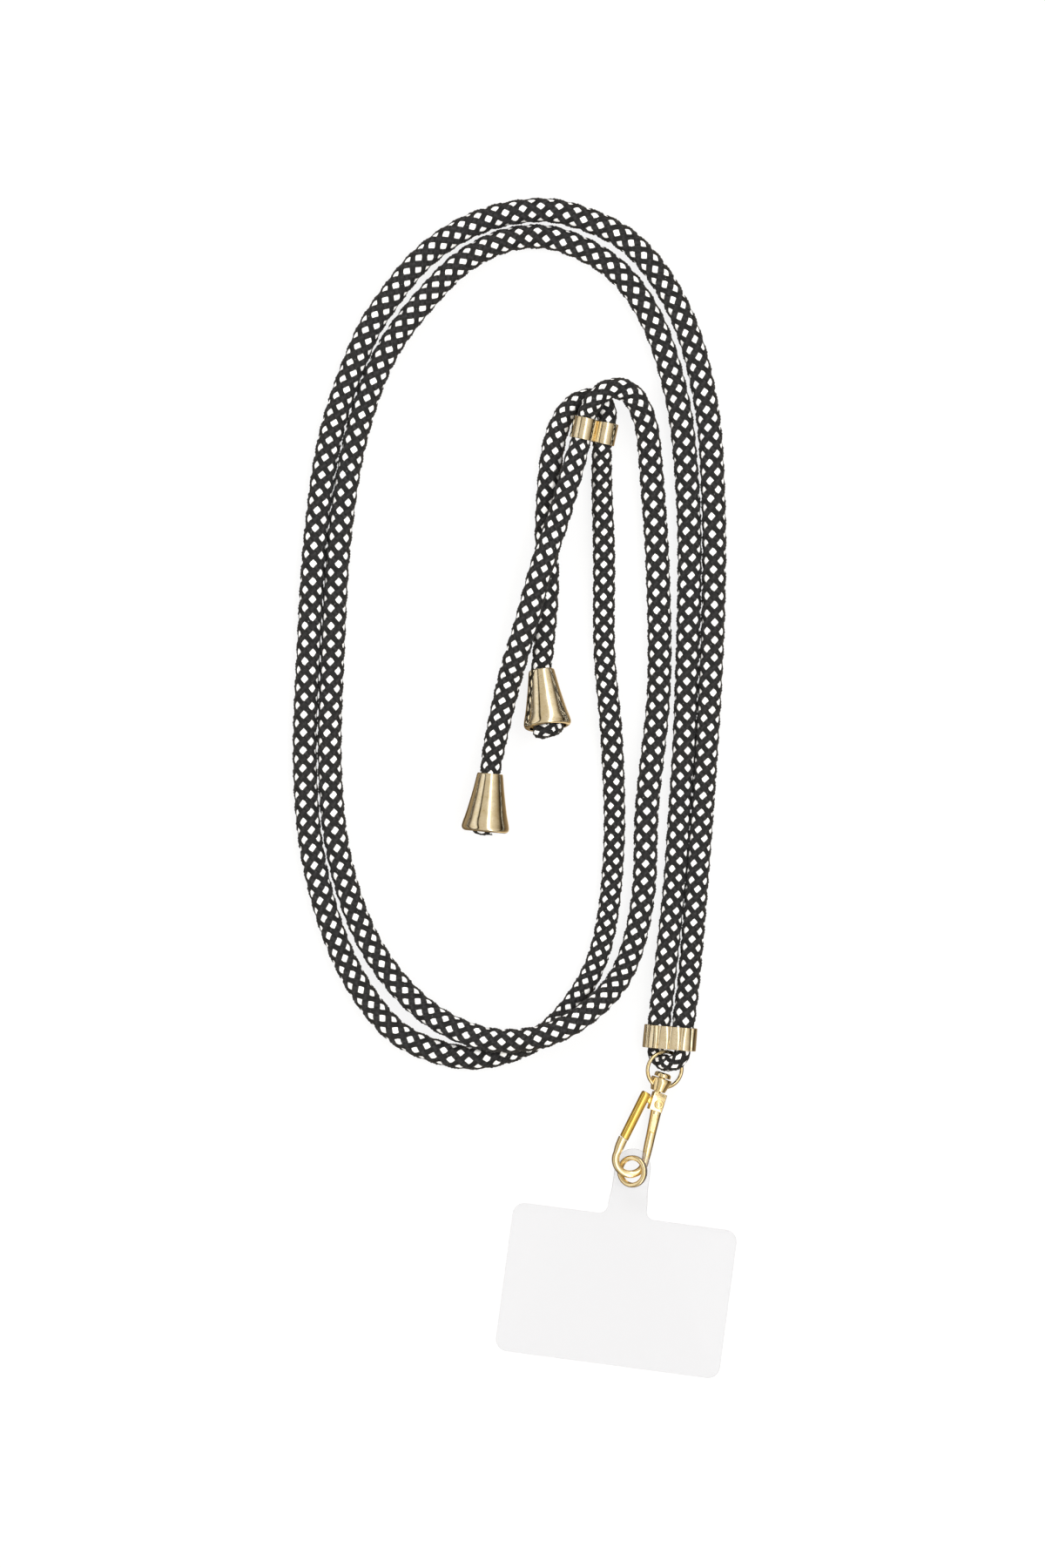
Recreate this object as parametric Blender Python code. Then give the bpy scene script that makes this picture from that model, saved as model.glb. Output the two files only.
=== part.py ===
"""A phone chain lying flat: a long braided rope folded at a crimped ferrule, a two-hole slider,
two bell-shaped end caps, and a swivel clasp that holds a clear phone card by its eyelet.

Plan view: +X right, +Y towards the top of the loop, +Z up off the surface. Sizes are millimetres
here and become metres as each mesh is made. The origin lies on the surface, at the middle of the
hard pieces.
"""

import math

import bmesh
import bpy
from mathutils import Matrix, Vector
from mathutils.geometry import delaunay_2d_cdt

MM = 0.001

# Clearances
GAP = 0.3            # between pieces that meet, and between a rope and the hole round it
FINE_GAP = 0.15      # between a clamped plate and what clamps it

# Rope
ROPE_D = 6.2         # where it lies free
POINT_SPACING = 16.0  # most between two points of a rope's tube
POINT_TURN = math.radians(26)  # and its most turn between them
LOOP_ROPE_D = 4.2   # where it is drawn tight round the clasp's eye
LOOP_LEG_SPACING = 7.5
LOOP_DEPTH = 3.8
LOOP_BOW = 0.4       # how far its foot rises off its own plane
LOOP_SWAY = 0.5      # and how far it dips and rises on the way there
LOOP_LEAN = 1.35     # how far its left leg lies below its middle, and its right leg above
LOOP_LEAN_AT_MOUTH = 0.5

# Ferrule that holds the fold of the rope
FERRULE_AT = (18.6, -38.1)
FERRULE_TURN = math.radians(-5)
FERRULE_LENGTH = 6.2
FERRULE_WALL = 0.6
FERRULE_ROPE_D = 5.8
FERRULE_ROPE_SPACING = 6.5
FLUTE_DEPTH = 0.22
FLUTES = 14

# Slider with two holes
SLIDER_AT = (-1.9, 125.6)
SLIDER_TURN = math.radians(-12)
SLIDER_ROLL = math.radians(25)
SLIDER_LENGTH = 5.9
SLIDER_WALL = 0.45
SLIDER_ROPE_D = 5.0
SLIDER_HOLE_SPACING = 6.4

# Bell caps on the rope's two ends
CAP_LENGTH = 15.8
CAP_WALL = 0.6
CAP_ROPE_D = 5.2
CAP_MOUTH_R = 6.4
KNOT_HALF_LENGTH = 5.4
# A cap's outline: share of its length from the neck, and share of the way from neck to mouth
CAP_OUTLINE = (
    (0.0, -0.07),
    (0.02, 0.0),
    (0.3, 0.26),
    (0.6, 0.58),
    (0.82, 0.86),
    (0.89, 0.95),
    (0.93, 1.0),
    (0.965, 0.95),
    (0.99, 0.78),
    (1.0, 0.6),
)
UPPER_CAP_AT = (-16.1, 61.0)
UPPER_CAP_TURN = math.radians(6.5)
UPPER_KNOT_SHOWS = 3.2
UPPER_KNOT_R = 4.6
LOWER_CAP_AT = (-29.9, 33.2)
LOWER_CAP_TURN = math.radians(-5.2)
LOWER_KNOT_SHOWS = 1.0
LOWER_KNOT_R = 4.3

# Swivel clasp: its own frame has +Y towards the eye and the swivel at the origin
CLASP_AT = (15.2, -52.8)
CLASP_TURN = math.radians(-17.9)
AXIS_HEIGHT = 3.0
HOOK_ROLL = math.radians(12)
EYE_HALF_WIDTH = 4.6
EYE_HALF_LENGTH = 4.9
EYE_WIRE_R = 0.5
EYE_TILT = 0.62      # how far the ring leans across, as a slope
EYE_RISE = 0.08      # how far it climbs towards the rope, as a slope
EYE_OPEN = math.radians(24)    # half of the ring's opening, where the boss closes it
EYE_FOOT = 1.2       # from the boss's foot to the foot of the ring
BOSS_R = 2.8         # at its top
BOSS_FOOT_R = 2.0
BOSS_LENGTH = 3.6
BOSS_EDGE = 0.3
POST_R = 0.9
POST_HEAD_R = 2.25
POST_HEAD_LENGTH = 1.3
POST_HEAD_EDGE = 0.5

# Hook body
HEAD_WIDTH = 3.7
HEAD_LENGTH = 5.0
HEAD_THICK = 2.9
HEAD_X = 0.75        # middle of the head, right of the swivel's axis
HEAD_EDGE = 0.3
SLOT_THICK = 1.5
SLOT_FROM = 1.2      # below the head's top
SLOT_FLOOR = 0.35    # left whole below the slot
PIVOT = (1.1, -3.06)
RIVET_R = 0.6
RIVET_HEAD_R = 1.25
RIVET_HEAD_LENGTH = 0.4
BEND_R = 4.1
BEND_AT = (-1.4, -19.4)
BEND_WIRE = 2.0
BEND_START = 8       # degrees round the bend, from its right side
BEND_END = -188
SPINE_X = 1.25       # where the spine leaves the head
SPINE_WIDTH = 2.9
SPINE_THICK = 2.7
# The spine's sections: share of the way from the head to the bend, and share of the way from the
# spine's size there to the bend's
SPINE_SECTIONS = (
    (0.0, 0.0),
    (0.18, 0.17),
    (0.44, 0.42),
    (0.73, 0.55),
)
NOSE_AT = (-5.35, -17.2)
NOSE_END_X = -5.1
RECESS_DEPTH = 0.8   # in the spine's face
RECESS_WIDTH = 1.3
RECESS_LENGTH = 4.8
RECESS_FROM_HEAD = 0.9

# Gate
GATE_WIDTH = 2.6
GATE_TOP = (-2.8, -0.9)
GATE_END = (-4.9, -14.4)
TONGUE_R = 1.3
GATE_OPEN = math.radians(18)
SEAM_SLANT = math.radians(-12)  # of the gate's end and the nose's, so that the gate swings past

# Phone card, its tab and the eyelet in the tab
CARD_WIDTH = 61.0
CARD_HEIGHT = 40.3
CARD_THICK = 0.5
CARD_CORNER_R = 3.2
TAB_HALF_WIDTH = 5.3
TAB_LENGTH = 18.6
TAB_FILLET_R = 2.2
CARD_TURN = math.radians(-7.6)
EYELET_AT = (0.13, -22.42)   # in the clasp's frame
EYELET_HEIGHT = 3.14
EYELET_FROM_TIP = 6.2
TAB_ROLL = math.radians(27)
TAB_PITCH = math.radians(3)
TAB_RAMP = 7.8       # the tab is flat again this far above the card
TAB_TWIST_FROM = 0.8
EYELET_BORE_R = 3.03
EYELET_BARREL = 0.2
EYELET_RIM_R = 3.68
EYELET_RIM_WIDTH = 0.65
EYELET_RIM_HEIGHT = 0.5

# Each rope's route: x, y, height above its resting height, and share of ROPE_D. SLIDER_HOLE marks
# where it passes through the slider.
# The outer strand runs from the ferrule round the loop, up through the slider's right hole,
# under the other strand and down to the upper cap.
SLIDER_HOLE = (0.0, 0.0, 0.0, 0.0)
OUTER_ROUTE = (
    (23.75, -22.0, 0.0, 0.93),
    (25.9, 4.0, 0.0, 0.95),
    (27.8, 30.0, 0.0, 0.96),
    (29.4, 56.0, 0.0, 0.98),
    (30.4, 82.0, 0.0, 0.99),
    (30.3, 107.0, 0.0, 1.0),
    (28.3, 133.0, 0.0, 1.0),
    (21.4, 157.5, 0.0, 1.0),
    (8.3, 176.0, 0.0, 1.0),
    (-9.7, 184.4, 0.0, 1.0),
    (-23.7, 184.5, 0.0, 1.0),
    (-37.0, 180.1, 0.0, 1.0),
    (-48.3, 172.1, 0.0, 1.0),
    (-57.0, 161.6, 0.0, 1.0),
    (-64.0, 150.1, 0.0, 1.0),
    (-72.7, 125.4, 0.0, 1.0),
    (-76.9, 98.0, 0.0, 1.0),
    (-78.9, 67.0, 0.0, 1.0),
    (-79.9, 35.0, 0.0, 1.0),
    (-77.4, 9.0, 0.0, 1.0),
    (-69.4, -16.7, 0.0, 1.0),
    (-57.0, -35.0, 0.0, 1.0),
    (-43.65, -42.05, 0.0, 1.0),
    (-31.0, -43.2, 0.0, 0.98),
    (-16.5, -37.9, 0.0, 0.92),
    (-5.6, -26.0, 0.0, 0.88),
    (0.7, -11.0, 0.0, 0.88),
    (3.5, 14.0, 0.0, 0.88),
    (2.9, 42.0, 0.0, 0.92),
    (0.9, 66.0, 0.0, 0.89),
    (0.8, 92.0, 0.0, 0.91),
    (0.2, 112.0, 0.1, 0.86),
    SLIDER_HOLE,
    (0.9, 132.6, 0.1, 0.84),
    (-4.2, 134.2, 0.0, 0.86),
    (-9.5, 130.4, 0.0, 0.86),
    (-13.0, 120.6, 0.0, 0.95),
    (-14.7, 101.0, 0.0, 0.96),
    (-14.5, 83.0, 0.0, 0.96),
    (-15.7, 65.0, 0.4, 0.86),
)
# The inner strand runs beside it, crosses over it at the foot of the loop, climbs to the slider's
# left hole, and crosses over the other tail on its way to the lower cap.
INNER_ROUTE = (
    (19.5, 0.0, 0.0, 0.94),
    (21.0, 20.0, 0.0, 0.95),
    (22.6, 45.0, 0.0, 0.97),
    (23.9, 90.0, 0.0, 1.0),
    (22.9, 116.0, 0.0, 1.0),
    (20.4, 135.0, 0.0, 1.0),
    (14.0, 155.0, 0.0, 1.0),
    (4.0, 169.0, 0.0, 1.0),
    (-10.6, 177.0, 0.0, 1.0),
    (-22.5, 177.7, 0.0, 1.0),
    (-33.5, 173.6, 0.0, 1.0),
    (-43.0, 166.0, 0.0, 1.0),
    (-57.6, 147.3, 0.0, 1.0),
    (-66.1, 124.2, 0.0, 1.0),
    (-70.5, 97.5, 0.0, 1.0),
    (-72.4, 67.0, 0.0, 1.0),
    (-73.2, 35.0, 0.0, 1.0),
    (-70.5, 10.0, 0.0, 1.0),
    (-62.5, -12.6, 0.0, 1.0),
    (-49.1, -29.4, 0.4, 1.0),
    (-32.9, -37.9, 4.6, 0.99),
    (-17.4, -38.0, 6.2, 0.98),
    (-4.4, -31.7, 5.1, 0.98),
    (5.9, -20.3, 0.6, 0.96),
    (11.2, -1.0, 0.0, 0.97),
    (12.4, 24.0, 0.0, 0.99),
    (15.6, 56.0, 0.0, 0.98),
    (15.3, 88.0, 0.0, 0.99),
    (13.6, 114.0, 0.0, 0.99),
    (12.0, 127.6, 1.6, 0.97),
    (8.0, 135.5, 3.6, 0.94),
    (2.6, 136.8, 5.6, 0.88),
    (-1.6, 133.9, 5.7, 0.82),
    SLIDER_HOLE,
    (-7.0, 117.6, 4.2, 0.91),
    (-11.7, 101.5, 6.1, 0.96),
    (-16.0, 89.0, 6.1, 0.98),
    (-20.1, 74.0, 4.4, 1.0),
    (-24.7, 58.5, 0.7, 1.0),
    (-28.7, 41.0, 2.5, 0.93),
)


def remove_everything():
    for old in list(bpy.data.objects):
        bpy.data.objects.remove(old)


def material(name, colour, roughness, metallic, alpha=1.0):
    made = bpy.data.materials.new(name)
    made.use_nodes = True
    shader = made.node_tree.nodes["Principled BSDF"]
    shader.inputs["Base Color"].default_value = (*colour, 1.0)
    shader.inputs["Roughness"].default_value = roughness
    shader.inputs["Metallic"].default_value = metallic
    shader.inputs["Alpha"].default_value = alpha
    return made


def pale_gold(name):
    return material(name, (0.83, 0.72, 0.50), 0.25, 1.0)


def yellow_gold(name):
    return material(name, (0.90, 0.66, 0.25), 0.2, 1.0)


def black_braid(name):
    return material(name, (0.03, 0.03, 0.033), 0.7, 0.0)


# Frames, as matrices in millimetres


def frame_at(place, height, turn, roll=0.0):
    """A frame at a place in plan, turned about Z and then rolled about its own Y."""
    return (
        Matrix.Translation((place[0], place[1], height))
        @ Matrix.Rotation(turn, 4, "Z")
        @ Matrix.Rotation(roll, 4, "Y")
    )


# Meshes


def add_object(name, mesh, finish):
    made = bpy.data.objects.new(name, mesh)
    mesh.materials.append(finish)
    bpy.context.scene.collection.objects.link(made)
    return made


def add_mesh(name, points, faces, frame, finish):
    """An object from points in a frame's millimetres; its faces are turned to point outwards."""
    mesh = bpy.data.meshes.new(name)
    mesh.from_pydata([(frame @ Vector(p)) * MM for p in points], [], faces)
    work = bmesh.new()
    work.from_mesh(mesh)
    bmesh.ops.recalc_face_normals(work, faces=work.faces)
    work.to_mesh(mesh)
    work.free()
    mesh.shade_smooth()
    mesh.set_sharp_from_angle(angle=math.radians(40))
    return add_object(name, mesh, finish)


def joined_rings(rings, wrap):
    """Points and quads between rings of equal length, closed by end caps or round on themselves."""
    sides = len(rings[0])
    points = [p for ring in rings for p in ring]
    faces = []
    for i in range(len(rings) if wrap else len(rings) - 1):
        a = i * sides
        b = (i + 1) % len(rings) * sides
        for j in range(sides):
            k = (j + 1) % sides
            faces.append((a + j, a + k, b + k, b + j))
    if not wrap:
        faces.append(tuple(range(sides)))
        faces.append(tuple(range(len(points) - sides, len(points))))
    return points, faces


def turned(name, profile, sides, frame, finish, wrap=True):
    """A turned piece: profile rows are (height along Y, radius), a closed outline if wrap."""
    rings = []
    for height, radius in profile:
        ring = []
        for j in range(sides):
            angle = math.tau * j / sides
            ring.append((radius * math.cos(angle), height, radius * math.sin(angle)))
        rings.append(ring)
    points, faces = joined_rings(rings, wrap)
    return add_mesh(name, points, faces, frame, finish)


def swept(name, stations, sides, frame, finish, squareness=2.0, end_slant=0.0):
    """A bar along stations of (x, y, width, thickness) in the frame's plane, its section rounded
    from round (2) towards square as squareness grows, its last section turned by end_slant."""
    rings = []
    for i, (x, y, width, thick) in enumerate(stations):
        before = stations[max(i - 1, 0)]
        after = stations[min(i + 1, len(stations) - 1)]
        along = Vector((after[0] - before[0], after[1] - before[1])).normalized()
        if i == len(stations) - 1:
            along.rotate(Matrix.Rotation(end_slant, 2))
        ring = []
        for j in range(sides):
            angle = math.tau * (j + 0.5) / sides
            c = math.cos(angle)
            s = math.sin(angle)
            out = (abs(c) ** squareness + abs(s) ** squareness) ** (-1 / squareness)
            across = out * c * width / 2
            ring.append((x - along.y * across, y + along.x * across, out * s * thick / 2))
        rings.append(ring)
    points, faces = joined_rings(rings, wrap=False)
    return add_mesh(name, points, faces, frame, finish)


def circle(x, y, radius, sides):
    return [
        (x + radius * math.cos(math.tau * i / sides), y + radius * math.sin(math.tau * i / sides))
        for i in range(sides)
    ]


def arc(x, y, radius, start, end, steps):
    """Points of an arc, angles in degrees, both ends included."""
    turns = [math.radians(start + (end - start) * i / steps) for i in range(steps + 1)]
    return [(x + radius * math.cos(a), y + radius * math.sin(a)) for a in turns]


def within(place, loop):
    """Whether a point lies inside a closed outline."""
    inside = False
    for a, b in zip(loop, [*loop[1:], loop[0]]):
        if (a[1] > place[1]) != (b[1] > place[1]):
            crossing = a[0] + (place[1] - a[1]) / (b[1] - a[1]) * (b[0] - a[0])
            inside = inside != (place[0] < crossing)
    return inside


def plate(name, outline, holes, thick, frame, finish, inner=(), shape=None):
    """A flat plate cut to an outline with holes, centred on its plane. shape moves each of its
    middle points, (x, y) to a place and a normal, to bend it."""
    loops = [outline, *holes]
    flat = [Vector(p) for loop in loops for p in loop] + [Vector(p) for p in inner]
    edges = []
    first = 0
    for loop in loops:
        count = len(loop)
        edges += [(first + i, first + (i + 1) % count) for i in range(count)]
        first += count
    inside_only = 1
    flat, _, found, _, _, _ = delaunay_2d_cdt(flat, edges, [], inside_only, 1e-5)
    faces = []
    for face in found:
        middle = sum((flat[i] for i in face), Vector((0, 0))) / len(face)
        if within(middle, outline) and not any(within(middle, hole) for hole in holes):
            faces.append(tuple(face))
    shape = shape or (lambda x, y: (Vector((x, y, 0)), Vector((0, 0, 1))))
    top = []
    bottom = []
    for p in flat:
        place, normal = shape(p.x, p.y)
        top.append(place + normal * thick / 2)
        bottom.append(place - normal * thick / 2)
    count = len(flat)
    sides = {(face[i - 1], face[i]) for face in faces for i in range(len(face))}
    solid = faces + [tuple(count + i for i in reversed(face)) for face in faces]
    solid += [(b, a, count + a, count + b) for a, b in sorted(sides) if (b, a) not in sides]
    return add_mesh(name, top + bottom, solid, frame, finish)


def round_edges(made, width):
    """Rounds every edge of a piece."""
    work = bmesh.new()
    work.from_mesh(made.data)
    bmesh.ops.bevel(
        work, geom=list(work.edges), offset=width * MM, segments=2, profile=0.5, affect="EDGES"
    )
    work.to_mesh(made.data)
    work.free()


def combine(target, tool, operation):
    """Cuts a tool out of the target, or joins it on, and removes the tool."""
    modifier = target.modifiers.new(operation.title(), "BOOLEAN")
    modifier.operation = operation
    modifier.object = tool
    bpy.context.view_layer.update()
    done = bpy.data.meshes.new_from_object(
        target.evaluated_get(bpy.context.evaluated_depsgraph_get())
    )
    target.modifiers.clear()
    old = target.data
    target.data = done
    bpy.data.meshes.remove(old)
    bpy.data.objects.remove(tool)


def block(name, low, high, frame, finish):
    low = Vector(low)
    high = Vector(high)
    corners = [(x, y, z) for x in (low.x, high.x) for y in (low.y, high.y) for z in (low.z, high.z)]
    faces = [(0, 1, 3, 2), (4, 6, 7, 5), (0, 4, 5, 1), (2, 3, 7, 6), (0, 2, 6, 4), (1, 5, 7, 3)]
    return add_mesh(name, corners, faces, frame, finish)


def rod(name, x, y, radius, low, high, sides, frame, finish):
    """A rod square to the frame's plane."""
    rings = [[(px, py, z) for px, py in circle(x, y, radius, sides)] for z in (low, high)]
    points, faces = joined_rings(rings, wrap=False)
    return add_mesh(name, points, faces, frame, finish)


# Rope


def smooth_line(rows):
    """Rows read from a smooth curve through the route's rows, closer together where it bends."""
    rows = [Vector(row) for row in rows]
    knots = [0.0]
    for a, b in zip(rows, rows[1:]):
        knots.append(knots[-1] + (b.xyz - a.xyz).length ** 0.5)
    slopes = []
    for i in range(len(rows)):
        a = max(i - 1, 0)
        b = min(i + 1, len(rows) - 1)
        slopes.append((rows[b] - rows[a]) / (knots[b] - knots[a]))
    line = []
    for i in range(len(rows) - 1):
        span = knots[i + 1] - knots[i]
        length = (rows[i + 1].xyz - rows[i].xyz).length
        turn = slopes[i].xyz.angle(slopes[i + 1].xyz)
        steps = max(1, math.ceil(length / POINT_SPACING), math.ceil(turn / POINT_TURN))
        for k in range(steps):
            t = k / steps
            line.append(
                rows[i] * (2 * t**3 - 3 * t**2 + 1)
                + slopes[i] * span * (t**3 - 2 * t**2 + t)
                + rows[i + 1] * (3 * t**2 - 2 * t**3)
                + slopes[i + 1] * span * (t**3 - t**2)
            )
    return [*line, rows[-1]]


def rope_tube(name, line):
    """A tube along rows of (x, y, height of its middle, radius)."""
    curve = bpy.data.curves.new(name, "CURVE")
    curve.dimensions = "3D"
    curve.resolution_u = 1
    curve.render_resolution_u = 0
    curve.bevel_depth = MM
    curve.bevel_resolution = 3
    curve.use_fill_caps = True
    spline = curve.splines.new("POLY")
    spline.points.add(len(line) - 1)
    for point, (x, y, z, radius) in zip(spline.points, line):
        point.co = (x * MM, y * MM, z * MM, 1.0)
        point.radius = radius
    made = bpy.data.objects.new(name, curve)
    curve.materials.append(black_braid(name))
    bpy.context.scene.collection.objects.link(made)
    return made


def placed(route, side):
    """Route rows with heights measured from the surface and radii for shares, and the slider's
    hole on that side filled in, entered from below on the right and from above on the left."""
    rows = []
    for row in route:
        if row is SLIDER_HOLE:
            for along in (-SLIDER_LENGTH / 2, 0.0, SLIDER_LENGTH / 2):
                point = slider_frame() @ Vector((side * SLIDER_HOLE_SPACING / 2, side * along, 0))
                rows.append((*point, SLIDER_ROPE_D / 2))
        else:
            x, y, lift, share = row
            rows.append((x, y, ROPE_D * share / 2 + lift, ROPE_D * share / 2))
    return rows


def ferrule_height():
    return FERRULE_ROPE_D / 2 + GAP + FERRULE_WALL + FLUTE_DEPTH


def strand(name, route, side, cap_frame, knot_top):
    """One strand, from the middle of the ferrule to the knot inside its cap."""
    frame = frame_at(FERRULE_AT, ferrule_height(), FERRULE_TURN)
    mid = (LOOP_LEG_SPACING + FERRULE_ROPE_SPACING) / 4
    inside = frame @ Vector((side * mid, GAP, 0))
    mouth = frame @ Vector((side * FERRULE_ROPE_SPACING / 2, FERRULE_LENGTH / 2 + GAP, 0))
    neck = cap_frame @ Vector((0, GAP, 0))
    end = cap_frame @ Vector((0, -(knot_top - GAP), 0))
    rows = [
        (*inside, (FERRULE_ROPE_D + LOOP_ROPE_D) / 4),
        (*mouth, FERRULE_ROPE_D / 2),
        *placed(route, side),
        (*neck, CAP_ROPE_D / 2),
        (*end, CAP_ROPE_D / 2),
    ]
    line = [(x, y, max(z, radius), radius) for x, y, z, radius in smooth_line(rows)]
    return rope_tube(name, line)


def rope_loop():
    """The fold of the rope below the ferrule, round the clasp's eye: low on its left side,
    under the ring, and high on its right, over it."""
    half = LOOP_LEG_SPACING / 2
    edge = (LOOP_LEG_SPACING + FERRULE_ROPE_SPACING) / 4
    thin = LOOP_ROPE_D / 2
    joint_r = (FERRULE_ROPE_D + LOOP_ROPE_D) / 4
    mouth = -FERRULE_LENGTH / 2
    high = LOOP_LEAN_AT_MOUTH
    rows = [(-edge, -2 * GAP, 0, joint_r), (-edge, mouth / 2, -high / 5, thin)]
    rows.append((-edge, mouth + GAP, -high, thin))
    steps = 12
    for i in range(1, steps):
        turn = math.pi * i / steps
        ease = min(1.0, 0.35 + 1.6 * math.sin(turn))
        height = LOOP_BOW * math.sin(turn) - LOOP_SWAY * math.sin(2 * turn)
        height -= LOOP_LEAN * math.cos(turn) * ease
        rows.append((-half * math.cos(turn), mouth - LOOP_DEPTH * math.sin(turn), height, thin))
    rows.append((edge, mouth + GAP, high, thin))
    rows += [(edge, mouth / 2, high / 5, thin), (edge, -2 * GAP, 0, joint_r)]
    frame = frame_at(FERRULE_AT, ferrule_height(), FERRULE_TURN)
    line = [(*(frame @ Vector((x, y, z))), radius) for x, y, z, radius in rows]
    return rope_tube("strand_loop", smooth_line(line))


# Fittings on the rope


def stadium(half_spacing, radius, steps):
    """An outline of two half circles joined by straights, counter-clockwise."""
    right = arc(half_spacing, 0, radius, -90, 90, steps)
    return right + arc(-half_spacing, 0, radius, 90, 270, steps)


def ferrule():
    """A crimped band round both strands, fluted outside, bored by one long hole."""
    half = FERRULE_ROPE_SPACING / 2
    bore = FERRULE_ROPE_D / 2 + GAP
    smooth = stadium(half, bore + FERRULE_WALL, 14)
    length = [0.0]
    for a, b in zip(smooth, [*smooth[1:], smooth[0]]):
        length.append(length[-1] + math.dist(a, b))
    points_each = 6
    count = FLUTES * points_each
    outline = []
    for i in range(count):
        want = length[-1] * i / count
        k = max(j for j in range(len(smooth)) if length[j] <= want)
        a = Vector(smooth[k])
        b = Vector(smooth[(k + 1) % len(smooth)])
        point = a.lerp(b, (want - length[k]) / (length[k + 1] - length[k]))
        out = Vector((b.y - a.y, a.x - b.x)).normalized()
        ripple = FLUTE_DEPTH * (0.5 + 0.5 * math.cos(math.tau * i / points_each))
        outline.append(tuple(point + out * ripple))
    lay_along_y = Matrix.Rotation(math.radians(90), 4, "X")
    frame = frame_at(FERRULE_AT, ferrule_height(), FERRULE_TURN) @ lay_along_y
    return plate(
        "ferrule", outline, [stadium(half, bore, 10)], FERRULE_LENGTH, frame, pale_gold("ferrule")
    )


def slider_frame():
    barrel = SLIDER_ROPE_D / 2 + GAP + SLIDER_WALL
    height = barrel + SLIDER_HOLE_SPACING / 2 * math.sin(SLIDER_ROLL)
    return frame_at(SLIDER_AT, height, SLIDER_TURN, SLIDER_ROLL)


def slider():
    """Two barrels side by side with a valley between them."""
    half = SLIDER_HOLE_SPACING / 2
    bore = SLIDER_ROPE_D / 2 + GAP
    barrel = bore + SLIDER_WALL
    meet = math.degrees(math.acos(half / barrel)) if barrel > half else 0.0
    outline = arc(half, 0, barrel, meet - 180, 180 - meet, 22)
    outline += arc(-half, 0, barrel, meet, 360 - meet, 22)[1:-1]
    holes = [circle(half, 0, bore, 20), circle(-half, 0, bore, 20)]
    lay_along_y = Matrix.Rotation(math.radians(90), 4, "X")
    frame = slider_frame() @ lay_along_y
    return plate("slider", outline, holes, SLIDER_LENGTH, frame, pale_gold("slider"))


def cap_neck_r():
    return CAP_ROPE_D / 2 + GAP + CAP_WALL


def cap_frame(place, turn, settled):
    """A cap rests on its mouth's rim. A settled one also rests on its neck, so that its axis climbs
    to its mouth; the other one's rope holds its neck up and its axis level."""
    if not settled:
        return frame_at(place, CAP_MOUTH_R, turn)
    rim_at = max(CAP_OUTLINE, key=lambda row: row[1])[0] * CAP_LENGTH
    slope = math.atan2(CAP_MOUTH_R - cap_neck_r(), rim_at)
    height = cap_neck_r() * math.cos(slope)
    return frame_at(place, height, turn) @ Matrix.Rotation(-slope, 4, "X")


def end_cap(name, frame):
    """A bell with an open mouth and a hole in its neck for the rope."""
    neck = cap_neck_r()
    grow = CAP_MOUTH_R - neck
    outer = [(-along * CAP_LENGTH, neck + out * grow) for along, out in CAP_OUTLINE]
    lip = outer[-1][1] - CAP_WALL * 0.6
    inner = [(-CAP_LENGTH + CAP_WALL / 6, lip)]
    for along, out in reversed(CAP_OUTLINE[1:-2]):
        inner.append((-along * CAP_LENGTH, neck + out * grow - CAP_WALL))
    inner.append((0.0, neck - CAP_WALL))
    return turned(name, outer + inner, 28, frame, pale_gold(name))


def end_knot(name, frame, shows, radius):
    """The knot that keeps the cap on: a round lump that shows below the cap's mouth."""
    middle = CAP_LENGTH + shows - KNOT_HALF_LENGTH
    profile = []
    for i in range(1, 10):
        turn = math.pi * i / 10
        height = -middle + KNOT_HALF_LENGTH * math.cos(turn)
        profile.append((height, radius * math.sin(turn) ** 0.8))
    return turned(name, profile, 16, frame, black_braid(name), wrap=False)


def knot_top(shows):
    """How far from the cap's neck its knot begins."""
    return CAP_LENGTH + shows - KNOT_HALF_LENGTH * (1 + math.cos(math.pi / 10))


# Clasp


def clasp_frame():
    return frame_at(CLASP_AT, AXIS_HEIGHT, CLASP_TURN)


def hook_frame():
    return frame_at(CLASP_AT, AXIS_HEIGHT, CLASP_TURN, HOOK_ROLL)


def boss(name, frame):
    """The boss that the hook's post turns in, wider towards the ring."""
    bore = POST_R + GAP
    top = GAP + BOSS_LENGTH
    profile = [
        (GAP, bore),
        (GAP, BOSS_FOOT_R - BOSS_EDGE / 2),
        (GAP + BOSS_EDGE, BOSS_FOOT_R),
        (top - 2 * BOSS_EDGE, BOSS_R),
        (top - BOSS_EDGE, BOSS_R),
        (top, BOSS_R - BOSS_EDGE),
        (top, bore),
    ]
    return turned(name, profile, 24, frame, pale_gold(name))


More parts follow.
